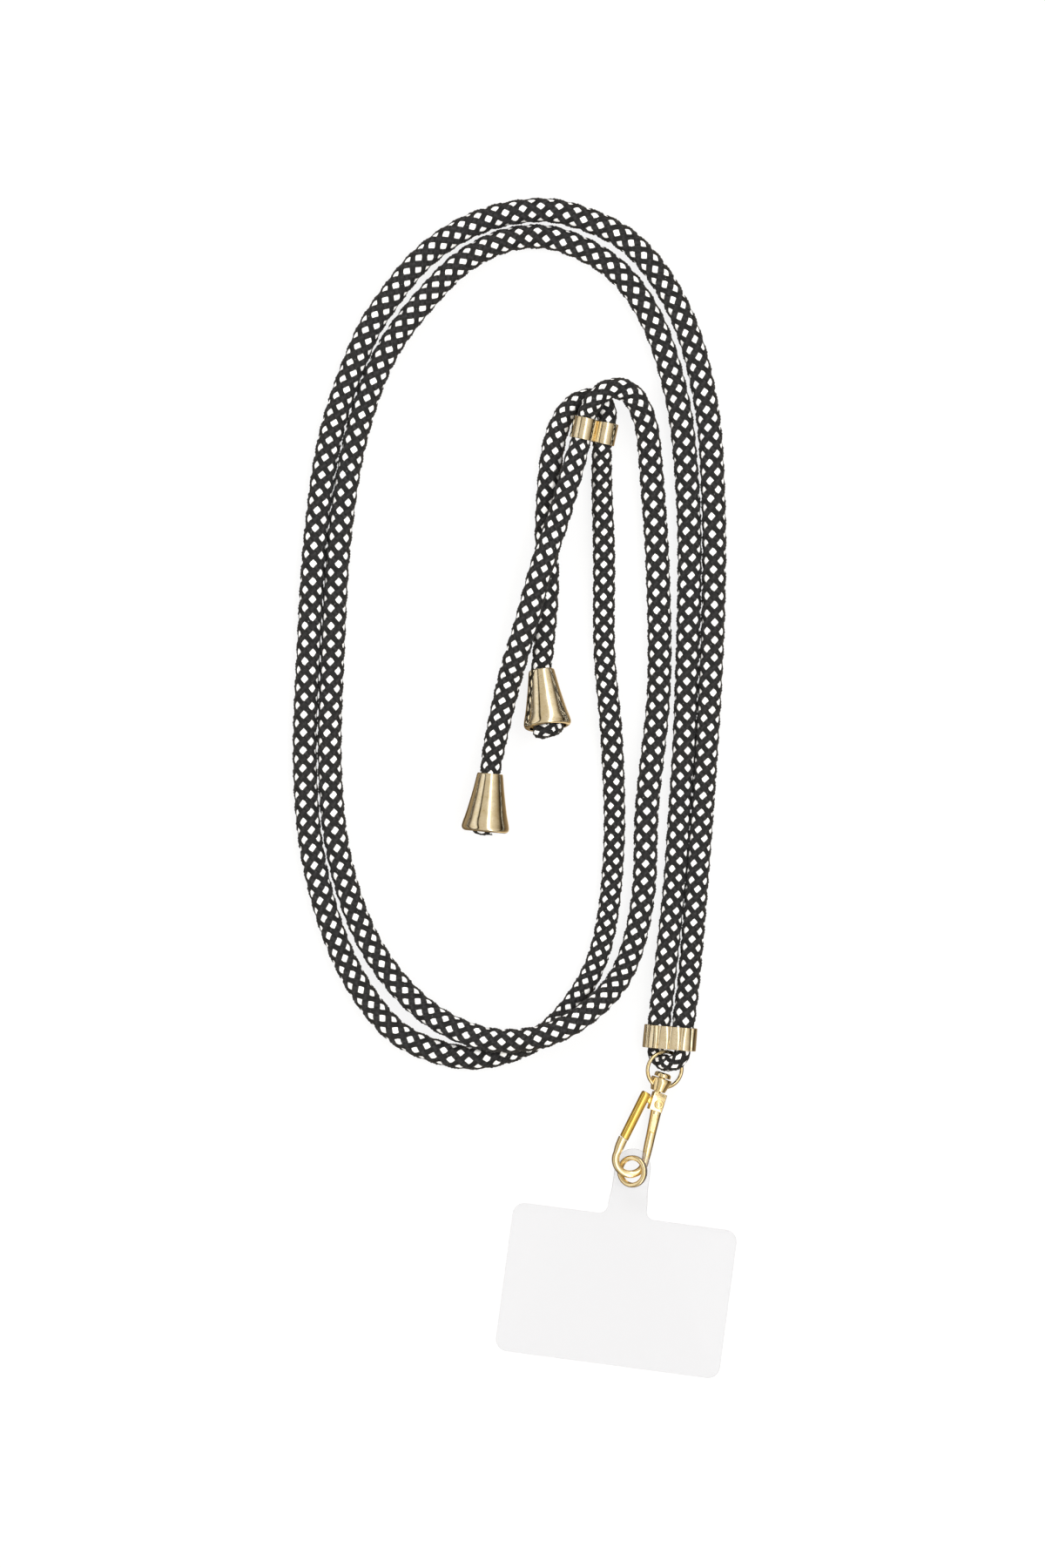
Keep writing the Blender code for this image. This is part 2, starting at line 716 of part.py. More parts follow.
def swivel_eye():
    """A boss with a leaning oval ring that links the rope."""
    name = "swivel_eye"
    frame = clasp_frame()
    made = boss(name, frame)
    steps = 32
    sides = 8
    start = EYE_OPEN - math.pi / 2
    stop = math.pi * 1.5 - EYE_OPEN
    foot = GAP + EYE_FOOT
    centres = []
    for i in range(steps + 1):
        turn = start + (stop - start) * i / steps
        x = EYE_HALF_WIDTH * math.cos(turn)
        y = foot + EYE_HALF_LENGTH * (1 + math.sin(turn))
        centres.append(Vector((x, y, EYE_RISE * (y - foot) - EYE_TILT * x)))
    plane = Vector((EYE_TILT, -EYE_RISE, 1)).normalized()
    rings = []
    for i, centre in enumerate(centres):
        along = (centres[min(i + 1, steps)] - centres[max(i - 1, 0)]).normalized()
        side = along.cross(plane).normalized()
        ring = []
        for j in range(sides):
            angle = math.tau * j / sides
            ring.append(centre + (side * math.cos(angle) + plane * math.sin(angle)) * EYE_WIRE_R)
        rings.append(ring)
    points, faces = joined_rings(rings, wrap=False)
    combine(made, add_mesh("ring", points, faces, frame, made.data.materials[0]), "UNION")
    return made


def spine_and_bend():
    """Stations of the hook from its head down the spine, round the bend and up to the nose."""
    bx, by = BEND_AT
    bend = arc(bx, by, BEND_R, BEND_START, BEND_END, 18)
    top = -HEAD_LENGTH + BOSS_EDGE
    stations = []
    for along, thin in SPINE_SECTIONS:
        x = SPINE_X + (bend[0][0] - SPINE_X) * along
        y = top + (bend[0][1] - top) * along
        width = SPINE_WIDTH + (BEND_WIRE - SPINE_WIDTH) * thin
        stations.append((x, y, width, SPINE_THICK + (BEND_WIRE - SPINE_THICK) * thin))
    stations += [(x, y, BEND_WIRE, BEND_WIRE) for x, y in bend]
    stations.append((*NOSE_AT, GATE_WIDTH - FINE_GAP, GATE_WIDTH - 2 * FINE_GAP))
    seam = GATE_END[1] - GAP - FINE_GAP
    stations.append((NOSE_END_X, seam, GATE_WIDTH, GATE_WIDTH - FINE_GAP))
    return stations


def hook_head(frame, finish):
    """The head's two cheeks, with the slot for the gate's tongue between them."""
    half = HEAD_THICK / 2
    left = HEAD_X - HEAD_WIDTH / 2
    right = HEAD_X + HEAD_WIDTH / 2
    head = block("head", (left, -HEAD_LENGTH, -half), (right, 0, half), frame, finish)
    round_edges(head, HEAD_EDGE)
    low = (left - 1, -HEAD_LENGTH + SLOT_FLOOR, -SLOT_THICK / 2)
    high = (right + 1, -SLOT_FROM, SLOT_THICK / 2)
    combine(head, block("slot", low, high, frame, finish), "DIFFERENCE")
    return head


def hook_post(frame, finish):
    """The post that turns in the boss, and the head that keeps it there."""
    top = GAP + BOSS_LENGTH + GAP
    end = top + POST_HEAD_LENGTH
    profile = [
        (-1.0, POST_R),
        (top, POST_R),
        (top, POST_HEAD_R),
        (end - POST_HEAD_EDGE, POST_HEAD_R),
        (end, POST_HEAD_R - POST_HEAD_EDGE),
    ]
    return turned("post", profile, 20, frame, finish, wrap=False)


def hook():
    """Head, post, spine and bend in one casting, with a recess in the spine's face."""
    name = "hook"
    frame = hook_frame()
    finish = yellow_gold(name)
    half = HEAD_THICK / 2
    made = swept(name, spine_and_bend(), 12, frame, finish, 2.6, SEAM_SLANT)
    combine(made, hook_head(frame, finish), "UNION")
    start = -HEAD_LENGTH - RECESS_FROM_HEAD
    low = (SPINE_X - RECESS_WIDTH / 3, start - RECESS_LENGTH, half - RECESS_DEPTH)
    high = (SPINE_X + RECESS_WIDTH * 2 / 3, start, 2 * half)
    combine(made, block("recess", low, high, frame, finish), "DIFFERENCE")
    bore = RIVET_R + FINE_GAP
    combine(made, rod("bore", *PIVOT, bore, -2 * half, 2 * half, 16, frame, finish), "DIFFERENCE")
    combine(made, hook_post(frame, finish), "UNION")
    return made


def gate_rivet():
    """The pin of the gate, with a low head on each cheek of the hook."""
    name = "gate_rivet"
    half = HEAD_THICK / 2 + FINE_GAP
    lay_along_z = Matrix.Rotation(math.radians(90), 4, "X")
    frame = hook_frame() @ Matrix.Translation((*PIVOT, 0)) @ lay_along_z
    low = [
        (-half - RIVET_HEAD_LENGTH, RIVET_HEAD_R * 0.7),
        (-half - RIVET_HEAD_LENGTH * 0.5, RIVET_HEAD_R),
        (-half, RIVET_HEAD_R),
        (-half, RIVET_R),
    ]
    profile = low + [(-height, radius) for height, radius in reversed(low)]
    return turned(name, profile, 16, frame, yellow_gold(name), wrap=False)


def gate():
    """A round bar that closes the hook, on a thin tongue that turns on the rivet. The tongue's
    lower edge slopes so that it lies level in the slot when the gate is open."""
    name = "gate"
    frame = hook_frame()
    finish = yellow_gold(name)
    tx, ty = GATE_TOP
    ex, ey = GATE_END
    stations = []
    for share, swell in ((0, 0.8), (0.03, 1), (0.3, 1), (0.6, 1), (1, 0.98)):
        width = GATE_WIDTH * swell
        stations.append((tx + (ex - tx) * share, ty + (ey - ty) * share, width, width))
    made = swept(name, stations, 12, frame, finish, 2.4, SEAM_SLANT)
    px, py = PIVOT
    reach = px - (tx + (ex - tx) / 6)
    drop = TONGUE_R / math.cos(GATE_OPEN) - reach * math.tan(GATE_OPEN)
    outline = arc(px, py, TONGUE_R, -90 - math.degrees(GATE_OPEN), 90, 12)
    outline += [(px - reach, py + TONGUE_R), (px - reach, py - drop)]
    thick = SLOT_THICK - 2 * GAP
    hole = circle(px, py, RIVET_R + FINE_GAP, 16)
    tongue = plate("tongue", outline, [hole], thick, frame, finish)
    combine(made, tongue, "UNION")
    return made


# Card


def eyelet_along_tab():
    return TAB_LENGTH - EYELET_FROM_TIP


def smooth_step(t):
    t = min(max(t, 0.0), 1.0)
    return t * t * (3 - 2 * t)


def card_axes():
    """Where the eyelet is, and the card's directions across and up in plan."""
    eyelet = clasp_frame() @ Vector((*EYELET_AT, 0))
    turn = Matrix.Rotation(CARD_TURN, 3, "Z")
    place = Vector((eyelet.x, eyelet.y, EYELET_HEIGHT))
    return place, turn @ Vector((1, 0, 0)), turn @ Vector((0, 1, 0))


def bent_card(across, up):
    """The place and normal of the card's middle surface. The card is flat on the surface, and its
    tab climbs and twists to the eyelet's plane."""
    centre, right, ahead = card_axes()
    foot = centre - ahead * eyelet_along_tab() * math.cos(TAB_PITCH)
    foot.z = CARD_THICK / 2
    if up <= 0:
        return foot + right * across + ahead * up, Vector((0, 0, 1))
    rise = math.tan(TAB_PITCH)
    at_ramp = EYELET_HEIGHT - (eyelet_along_tab() - TAB_RAMP) * rise
    t = min(up / TAB_RAMP, 1.0)
    height = foot.z + (at_ramp - foot.z) * smooth_step(t) + rise * TAB_RAMP * (t**3 - t**2)
    height += rise * max(up - TAB_RAMP, 0.0)
    roll = TAB_ROLL * smooth_step((up - TAB_TWIST_FROM) / (TAB_RAMP - TAB_TWIST_FROM))
    side = right * math.cos(roll) + Vector((0, 0, 1)) * math.sin(roll)
    slope = (at_ramp - foot.z) / TAB_RAMP * 6 * t * (1 - t) if up < TAB_RAMP else rise
    along = (ahead + Vector((0, 0, slope))).normalized()
    place = foot + ahead * up * math.cos(TAB_PITCH if up > TAB_RAMP else 0) + side * across
    place.z = height + math.sin(roll) * across
    return place, side.cross(along).normalized()


def card():
    """The phone card with its tab, bent as one sheet."""
    half = CARD_WIDTH / 2
    r = CARD_CORNER_R
    f = TAB_FILLET_R
    w = TAB_HALF_WIDTH
    round_at = TAB_LENGTH - w
    rows = [f + (TAB_RAMP + 0.8 - f) * i / 8 for i in range(1, 9)]
    outline = arc(half - r, -CARD_HEIGHT + r, r, -90, 0, 6)
    outline += arc(half - r, -r, r, 0, 90, 6)
    outline += arc(w + f, f, f, -90, -180, 5)
    outline += [(w, up) for up in rows]
    outline += arc(0, round_at, w, 0, 180, 18)
    outline += [(-w, up) for up in reversed(rows)]
    outline += arc(-w - f, f, f, 0, -90, 5)
    outline += arc(-half + r, -r, r, 90, 180, 6)
    outline += arc(-half + r, -CARD_HEIGHT + r, r, 180, 270, 6)
    inner = [(w * k / 4, 0.0) for k in range(-4, 5)]
    inner += [(w * k / 4, f * 0.5) for k in range(-4, 5)]
    inner += [(w * k / 4, f) for k in range(-3, 4)]
    inner += [(w * k / 4, up) for up in rows for k in range(-3, 4)]
    hole = circle(0, eyelet_along_tab(), EYELET_BORE_R + EYELET_BARREL + GAP, 24)
    clear = EYELET_BORE_R + EYELET_BARREL + 2 * GAP
    inner = [p for p in inner if math.dist(p, (0, eyelet_along_tab())) > clear]
    finish = material("card", (0.9, 0.91, 0.93), 0.25, 0.0, 0.5)
    return plate("card", outline, [hole], CARD_THICK, Matrix.Identity(4), finish, inner, bent_card)


def grommet():
    """A rolled eyelet: a barrel through the tab with a round rim on each face."""
    name = "grommet"
    centre, _, _ = card_axes()
    place, normal = bent_card(0.0, eyelet_along_tab())
    side = bent_card(1.0, eyelet_along_tab())[0] - place
    up = normal.cross(side)
    frame = Matrix((side, normal, -up)).transposed().to_4x4()
    frame.translation = place
    inner_face = CARD_THICK / 2 + FINE_GAP
    rim = []
    for i in range(7):
        turn = math.pi * i / 6
        radius = EYELET_RIM_R - EYELET_RIM_WIDTH * math.cos(turn)
        rim.append((inner_face + EYELET_RIM_HEIGHT * math.sin(turn), radius))
    barrel = EYELET_BORE_R + EYELET_BARREL
    profile = rim + [(inner_face, barrel), (-inner_face, barrel)]
    profile += [(-height, radius) for height, radius in reversed(rim)]
    return turned(name, profile, 24, frame, yellow_gold(name))


def build():
    remove_everything()
    upper = cap_frame(UPPER_CAP_AT, UPPER_CAP_TURN, settled=True)
    lower = cap_frame(LOWER_CAP_AT, LOWER_CAP_TURN, settled=False)
    strand("strand_outer", OUTER_ROUTE, 1, upper, knot_top(UPPER_KNOT_SHOWS))
    strand("strand_inner", INNER_ROUTE, -1, lower, knot_top(LOWER_KNOT_SHOWS))
    rope_loop()
    ferrule()
    slider()
    end_cap("end_cap_upper", upper)
    end_cap("end_cap_lower", lower)
    end_knot("end_knot_upper", upper, UPPER_KNOT_SHOWS, UPPER_KNOT_R)
    end_knot("end_knot_lower", lower, LOWER_KNOT_SHOWS, LOWER_KNOT_R)
    swivel_eye()
    hook()
    gate_rivet()
    gate()
    card()
    grommet()


build()
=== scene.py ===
"""The looks of a phone chain that lies looped on a pale floor: a rope of black ribbons braided
over a white core, plated metal fittings, and a clear card.

Sizes here are millimetres in the frame's own plan, +Y up the photograph, and become metres as each
mesh is made.
"""

import math

import bmesh
import bpy
import numpy as np
from mathutils import Matrix, Vector


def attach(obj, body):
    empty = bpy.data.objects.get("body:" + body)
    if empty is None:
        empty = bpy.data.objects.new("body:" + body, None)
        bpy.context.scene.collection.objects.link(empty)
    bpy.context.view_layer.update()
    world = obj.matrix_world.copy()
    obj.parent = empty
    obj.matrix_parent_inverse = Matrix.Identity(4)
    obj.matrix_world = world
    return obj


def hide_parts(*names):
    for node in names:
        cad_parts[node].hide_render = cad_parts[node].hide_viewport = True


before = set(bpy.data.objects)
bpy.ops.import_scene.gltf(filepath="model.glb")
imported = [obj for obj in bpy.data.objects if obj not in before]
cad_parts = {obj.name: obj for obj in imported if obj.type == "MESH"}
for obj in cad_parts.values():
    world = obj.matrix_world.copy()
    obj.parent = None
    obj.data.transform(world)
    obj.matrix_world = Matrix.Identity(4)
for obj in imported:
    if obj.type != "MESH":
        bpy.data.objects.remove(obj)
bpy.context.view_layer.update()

MM = 0.001
STRAP, HOOK, GATE = "strap_side", "hook_side", "gate_lever"

# Photograph
PHOTO_HEIGHT = 423.5     # what its long side takes in
PHOTO_CENTRE = (-21.2, 30.35)
CAMERA_HEIGHT = 3000.0
CAMERA_REACH = 100.0     # in metres
SENSOR = 36.0

# Rope
ROPE_D = 6.2
LOOP_ROPE_D = 4.2
RIBBONS = 4              # in each direction
PITCH = 19.2             # rope length of one turn of a ribbon, where the rope is ROPE_D thick
RIBBON_WIDTH = 1.9
RIBBON_THICK = 0.5
WEAVE = 0.24             # how far a ribbon goes up and down as it crosses the others
STEP = 0.75              # rope length between two sections of a ribbon
PROUD = 0.14             # how far the ribbons' middles stand out from the CAD's tube
CORE_SHARE = 0.91        # of the rope's radius, under a ribbon
CORE_SWELL = 0.06        # and what it gains in an opening
CORE_STEP = 0.675
CORE_SIDES = 40
RIBBON_SHIFT = 7.3       # along the yarn, from one ribbon's texture to the next one's
ROPE_STEP = 1.0          # between two places on a strand's line
FINE_ROPE_STEP = 0.5     # and on the fold's and the knots' lines
PATH_STRIDE = 3          # of those places, one goes into the strand's path
FLOOR_CLEAR = 0.01
# The braid's slow slip round the rope: size, rate along it, and how it takes up its rope's phase
DRIFT = (
    (0.5, 0.9, 1.0),
    (0.35, 0.37, 2.1),
)
BRAID_PHASE = {
    "strand_outer": 0.4,
    "strand_inner": 2.7,
    "strand_loop": 1.3,
    "end_knot_upper": 0.9,
    "end_knot_lower": 1.9,
}
SLIDER_ROPE_D = 5.0
CAP_ROPE_D = 5.2
FERRULE_ROPE_D = 5.8
GAP = 0.3

# Places of the fittings, as the CAD has them
FERRULE_AT = (18.6, -38.1)
FERRULE_TURN = math.radians(-5)
FERRULE_HEIGHT = 4.02
FERRULE_LENGTH = 6.2
FERRULE_ROPE_SPACING = 6.5
LOOP_LEG_SPACING = 7.5
LOOP_DEPTH = 3.8
LOOP_BOW = 0.4
LOOP_SWAY = 0.5
LOOP_LEAN = 1.35
LOOP_LEAN_AT_MOUTH = 0.5
LOOP_LEAN_INSIDE = 0.2   # of that, within the ferrule
LOOP_EASE = (0.35, 1.6)  # how the lean grows from the legs to the fold
LOOP_STEPS = 12
SLIDER_AT = (-1.9, 125.6)
SLIDER_TURN = math.radians(-12)
SLIDER_ROLL = math.radians(25)
SLIDER_LENGTH = 5.9
SLIDER_HOLE_SPACING = 6.4
SLIDER_BARREL_R = 3.25
SLIDER_EDGE_R = 0.2
CAP_LENGTH = 15.8
CAP_MOUTH_R = 6.4
CAP_NECK_R = 3.5
CAP_WALL = 0.6
CAP_STEP = 0.2
CAP_LIP_IN = 0.6         # of the wall, from the outline's end to the lip's inner edge
CAP_RIM_AT = 0.93        # the CAD bell's widest row, on which the cap lies
# A cap's outline: share of its length from the neck, and share of the way from neck to mouth
CAP_OUTLINE = (
    (0.0, -0.07),
    (0.02, 0.0),
    (0.3, 0.26),
    (0.6, 0.59),
    (0.74, 0.77),
    (0.82, 0.89),
    (0.88, 0.97),
    (0.925, 1.0),
    (0.96, 0.96),
    (0.985, 0.84),
    (1.0, 0.64),
)
UPPER_CAP_AT = (-16.1, 61.0)
UPPER_CAP_TURN = math.radians(6.5)
LOWER_CAP_AT = (-29.9, 33.2)
LOWER_CAP_TURN = math.radians(-5.2)

KNOT_ROPE_SHARE = 0.52   # of the knot's radius, the rope's in it
KNOT_RISE = 1.6
KNOT_TURNS = 1.1
KNOT_STEPS = 20
KNOT_LEAD = 2.0          # of rope above the knot's turn
KNOT_DROP = 1.4          # how fast the turn goes down to its low side
KNOT_TUCK = (-0.4, 0.3)  # the rope's end, in shares of the turn's radius
KNOT_TUCK_RISE = 0.3
KNOT_TUCK_SHARE = 0.9
UPPER_KNOT_TOP = 8.46    # from the cap's neck to where the strand goes into the knot
UPPER_KNOT_SHOWS = 2.9   # beyond the cap's mouth
UPPER_KNOT_R = 4.2
LOWER_KNOT_TOP = 6.26
LOWER_KNOT_SHOWS = 0.9
LOWER_KNOT_R = 3.6

FERRULE_WALL = 0.6
FERRULE_EDGE_R = 0.16
FERRULE_ROWS = 8
FERRULE_ROWS_SPAN = 0.94
FLUTE_DEPTH = 0.22
FLUTES = 12
FLUTE_SIDES = 14
VALLEY_DEPTH = 0.42
VALLEY_FLARE = 0.35      # of it, more at the band's two edges
VALLEY_SHARPNESS = 3.2
VALLEY_TAPER = 3.4       # how much sharper the valleys are at one edge

CLASP_AT = (15.2, -52.8)
CLASP_TURN = math.radians(-17.9)
CLASP_AXIS_HEIGHT = 3.0
EYE_HALF_WIDTH = 4.6
EYE_HALF_LENGTH = 4.9
EYE_WIRE_R = 0.5
EYE_TILT = 0.62
EYE_RISE = 0.08
EYE_OPEN = math.radians(24)
EYE_FOOT = 1.2
EYE_STEPS = 120
EYE_SIDES = 24
BOSS_R = 2.8
BOSS_FOOT_R = 2.0
BOSS_LENGTH = 3.6
BOSS_RIM = 0.75
BOSS_EDGE_R = 0.22
POST_R = 0.9
POST_ROOT = 0.5          # how far the post reaches into the hook's head
POST_HEAD_R = 2.25
POST_HEAD_LENGTH = 1.3
POST_CHAMFER = (0.4, 0.5)
POST_EDGE_R = 0.15
POST_SIDES = 64
HOOK_ROLL = math.radians(12)
HEAD_WIDTH = 3.7
HEAD_LENGTH = 5.0
HEAD_THICK = 2.9
HEAD_X = 0.75
HEAD_EDGE = 0.3          # how far the spine reaches into the head
SLOT_THICK = 1.5
SLOT_FROM = 1.2
SLOT_FLOOR = 0.35
CHEEK_CORNER_R = 0.5
CHEEK_EDGE_R = 0.2
BRIDGE_CORNER_R = 0.3
BRIDGE_EDGE_R = 0.25
SILL_INSET = 0.1
SILL_EDGE_R = 0.1
PIVOT = (1.1, -3.06)
RIVET_R = 0.6
RIVET_HEAD_R = 1.25
RIVET_HEAD_LENGTH = 0.4
RIVET_CLEAR = 0.15
RIVET_EDGE_R = 0.05
RIVET_SIDES = 64
# The rivet head's face: height over the head's end, and share of its radius
RIVET_FACE = (
    (-0.1, 1.0),
    (0.0, 0.86),
    (-0.14, 0.78),
    (-0.14, 0.66),
    (0.0, 0.56),
    (0.05, 0.3),
    (0.06, 0.008),
)
BEND_R = 4.1
BEND_AT = (-1.4, -19.4)
BEND_WIRE = 2.0
BEND_FROM = 8            # in degrees
BEND_TO = -188
BEND_STEPS = 18
HOOK_SQUARENESS = 2.6
SPINE_X = 1.25
SPINE_WIDTH = 2.9
SPINE_THICK = 2.7
# Along the spine: share of the way to the bend, and share of the way to the bend's thickness
SPINE_SECTIONS = (
    (0.0, 0.0),
    (0.18, 0.17),
    (0.44, 0.42),
    (0.73, 0.55),
)
NOSE_AT = (-5.35, -17.2)
NOSE_END = (-5.1, -14.7)
NOSE_TAPER = 0.15
RECESS_DEPTH = 0.8
RECESS_MIDDLE = -0.1     # from the spine's own middle
RECESS_WIDTH = 1.3
RECESS_LENGTH = 4.8
RECESS_FROM_HEAD = 0.9
GATE_WIDTH = 2.6
GATE_TOP = (-2.8, -0.9)
GATE_END = (-4.91, -14.54)
GATE_SQUARENESS = 2.4
# Along the gate: share of its length, and share of its width
GATE_SECTIONS = (
    (0, 0.8),
    (0.02, 0.95),
    (0.06, 1),
    (0.3, 1),
    (0.6, 1),
    (1, 0.98),
)
TONGUE_R = 1.3
TONGUE_STEPS = 24
TONGUE_EDGE_R = 0.08
GATE_OPEN = math.radians(18)
SEAM_SLANT = math.radians(-12)
CARD_TURN = math.radians(-7.6)
TAB_ROLL = math.radians(27)
TAB_PITCH = math.radians(3)
EYELET_AT = (0.13, -22.42)   # in the clasp's frame
EYELET_HEIGHT = 3.14
EYELET_FACE = 0.4
EYELET_BARREL_R = 3.23
EYELET_RIM_R = 3.68
EYELET_RIM_WIDTH = 0.65
EYELET_RIM_HEIGHT = 0.5
EYELET_RIM_STEPS = 25
CARD_EDGE_R = 0.12
CARD_EDGE_SLOPE = 0.6    # faces whose normal is less upright than this are the cut edge
CARD_RIM_ANGLE = 1.0     # edges sharper than this, in radians, are rounded

# Meshes
BAR_STEP = 0.25
BAR_SIDES = 96
EASE_STEPS = 4           # in a rounded corner
SLAB_STEPS = 5           # in a slab's rounded edge
SHARP_ANGLE = math.radians(50)
NEAR_AXIS = 0.01         # radius at which a turned form closes
NEAR_MIDDLE = 0.001      # share of a ring at which a form closes

# The two strands' routes, as the CAD has them: x, y, height above its resting height, and share
# of ROPE_D. SLIDER_HOLE marks where a strand passes through the slider.
SLIDER_HOLE = (0.0, 0.0, 0.0, 0.0)
OUTER_ROUTE = (
    (23.75, -22.0, 0.0, 0.93),
    (25.9, 4.0, 0.0, 0.95),
    (27.8, 30.0, 0.0, 0.96),
    (29.4, 56.0, 0.0, 0.98),
    (30.4, 82.0, 0.0, 0.99),
    (30.3, 107.0, 0.0, 1.0),
    (28.3, 133.0, 0.0, 1.0),
    (21.4, 157.5, 0.0, 1.0),
    (8.3, 176.0, 0.0, 1.0),
    (-9.7, 184.4, 0.0, 1.0),
    (-23.7, 184.5, 0.0, 1.0),
    (-37.0, 180.1, 0.0, 1.0),
    (-48.3, 172.1, 0.0, 1.0),
    (-57.0, 161.6, 0.0, 1.0),
    (-64.0, 150.1, 0.0, 1.0),
    (-72.7, 125.4, 0.0, 1.0),
    (-76.9, 98.0, 0.0, 1.0),
    (-78.9, 67.0, 0.0, 1.0),
    (-79.9, 35.0, 0.0, 1.0),
    (-77.4, 9.0, 0.0, 1.0),
    (-69.4, -16.7, 0.0, 1.0),
    (-57.0, -35.0, 0.0, 1.0),
    (-43.65, -42.05, 0.0, 1.0),
    (-31.0, -43.2, 0.0, 0.98),
    (-16.5, -37.9, 0.0, 0.92),
    (-5.6, -26.0, 0.0, 0.88),
    (0.7, -11.0, 0.0, 0.88),
    (3.5, 14.0, 0.0, 0.88),
    (2.9, 42.0, 0.0, 0.92),
    (0.9, 66.0, 0.0, 0.89),
    (0.8, 92.0, 0.0, 0.91),
    (0.2, 112.0, 0.1, 0.86),
    SLIDER_HOLE,
    (0.9, 132.6, 0.1, 0.84),
    (-4.2, 134.2, 0.0, 0.86),
    (-9.5, 130.4, 0.0, 0.86),
    (-13.0, 120.6, 0.0, 0.95),
    (-14.7, 101.0, 0.0, 0.96),
    (-14.5, 83.0, 0.0, 0.96),
    (-15.7, 65.0, 0.4, 0.86),
)
# The inner strand runs beside it, crosses over it at the foot of the loop, climbs to the slider's
# left hole, and crosses over the other tail on its way to the lower cap.
INNER_ROUTE = (
    (19.5, 0.0, 0.0, 0.94),
    (21.0, 20.0, 0.0, 0.95),
    (22.6, 45.0, 0.0, 0.97),
    (23.9, 90.0, 0.0, 1.0),
    (22.9, 116.0, 0.0, 1.0),
    (20.4, 135.0, 0.0, 1.0),
    (14.0, 155.0, 0.0, 1.0),
    (4.0, 169.0, 0.0, 1.0),
    (-10.6, 177.0, 0.0, 1.0),
    (-22.5, 177.7, 0.0, 1.0),
    (-33.5, 173.6, 0.0, 1.0),
    (-43.0, 166.0, 0.0, 1.0),
    (-57.6, 147.3, 0.0, 1.0),
    (-66.1, 124.2, 0.0, 1.0),
    (-70.5, 97.5, 0.0, 1.0),
    (-72.4, 67.0, 0.0, 1.0),
    (-73.2, 35.0, 0.0, 1.0),
    (-70.5, 10.0, 0.0, 1.0),
    (-62.5, -12.6, 0.0, 1.0),
    (-49.1, -29.4, 0.4, 1.0),
    (-32.9, -37.9, 4.6, 0.99),
    (-17.4, -38.0, 6.2, 0.98),
    (-4.4, -31.7, 5.1, 0.98),
    (5.9, -20.3, 0.6, 0.96),
    (11.2, -1.0, 0.0, 0.97),
    (12.4, 24.0, 0.0, 0.99),
    (15.6, 56.0, 0.0, 0.98),
    (15.3, 88.0, 0.0, 0.99),
    (13.6, 114.0, 0.0, 0.99),
    (12.0, 127.6, 1.6, 0.97),
    (8.0, 135.5, 3.6, 0.94),
    (2.6, 136.8, 5.6, 0.88),
    (-1.6, 133.9, 5.7, 0.82),
    SLIDER_HOLE,
    (-7.0, 117.6, 4.2, 0.91),
    (-11.7, 101.5, 6.1, 0.96),
    (-16.0, 89.0, 6.1, 0.98),
    (-20.1, 74.0, 4.4, 1.0),
    (-24.7, 58.5, 0.7, 1.0),
    (-28.7, 41.0, 2.5, 0.93),
)

# Materials


def shader(name, settings):
    """A new material, its node tree and its Principled shader, set as the settings say."""
    made = bpy.data.materials.new(name)
    made.use_nodes = True
    tree = made.node_tree
    principled = tree.nodes["Principled BSDF"]
    for key, value in settings.items():
        principled.inputs[key].default_value = value
    return made, tree, principled


def node(tree, kind, **values):
    """A new node with its inputs or settings filled in by name."""
    made = tree.nodes.new(kind)
    for key, value in values.items():
        if key in made.inputs:
            made.inputs[key].default_value = value
        else:
            setattr(made, key.lower(), value)
    return made


def link(tree, source, output, target, entry):
    """Joins a node's named output to another's named input."""
    tree.links.new(source.outputs[output], target.inputs[entry])


def pattern(tree, kind, source, output, **values):
    """A new texture, read at a node's output."""
    made = node(tree, f"ShaderNodeTex{kind}", **values)
    link(tree, source, output, made, "Vector")
    return made


def ramp(tree, source, output, *stops):
    """A colour ramp, fed by a value. Each stop is a position and a colour."""
    made = node(tree, "ShaderNodeValToRGB")
    ends = made.color_ramp.elements
    for end, (position, tone) in zip(ends, (stops[0], stops[-1])):
        end.position = position
        end.color = (*tone, 1.0)
    for position, tone in stops[1:-1]:
        ends.new(position).color = (*tone, 1.0)
    link(tree, source, output, made, "Fac")
    return made


# A Mix node's colour sockets, which share their names with its other sockets
MIX_FACTOR, MIX_A, MIX_B, MIX_RESULT = 0, 6, 7, 2


def mixed(tree, kind, first, second):
    """The output of two colour outputs added or multiplied."""
    made = node(tree, "ShaderNodeMix", data_type="RGBA", blend_type=kind)
    made.inputs[MIX_FACTOR].default_value = 1.0
    tree.links.new(first, made.inputs[MIX_A])
    tree.links.new(second, made.inputs[MIX_B])
    return made.outputs[MIX_RESULT]


def bump(tree, source, output, target, strength, distance):
    """Raises the target shader's surface by a value, over any bump that it has."""
    made = node(tree, "ShaderNodeBump", Strength=strength, Distance=distance)
    link(tree, source, output, made, "Height")
    old = target.inputs["Normal"].links
    if old:
        tree.links.new(old[0].from_socket, made.inputs["Normal"])
    link(tree, made, "Normal", target, "Normal")


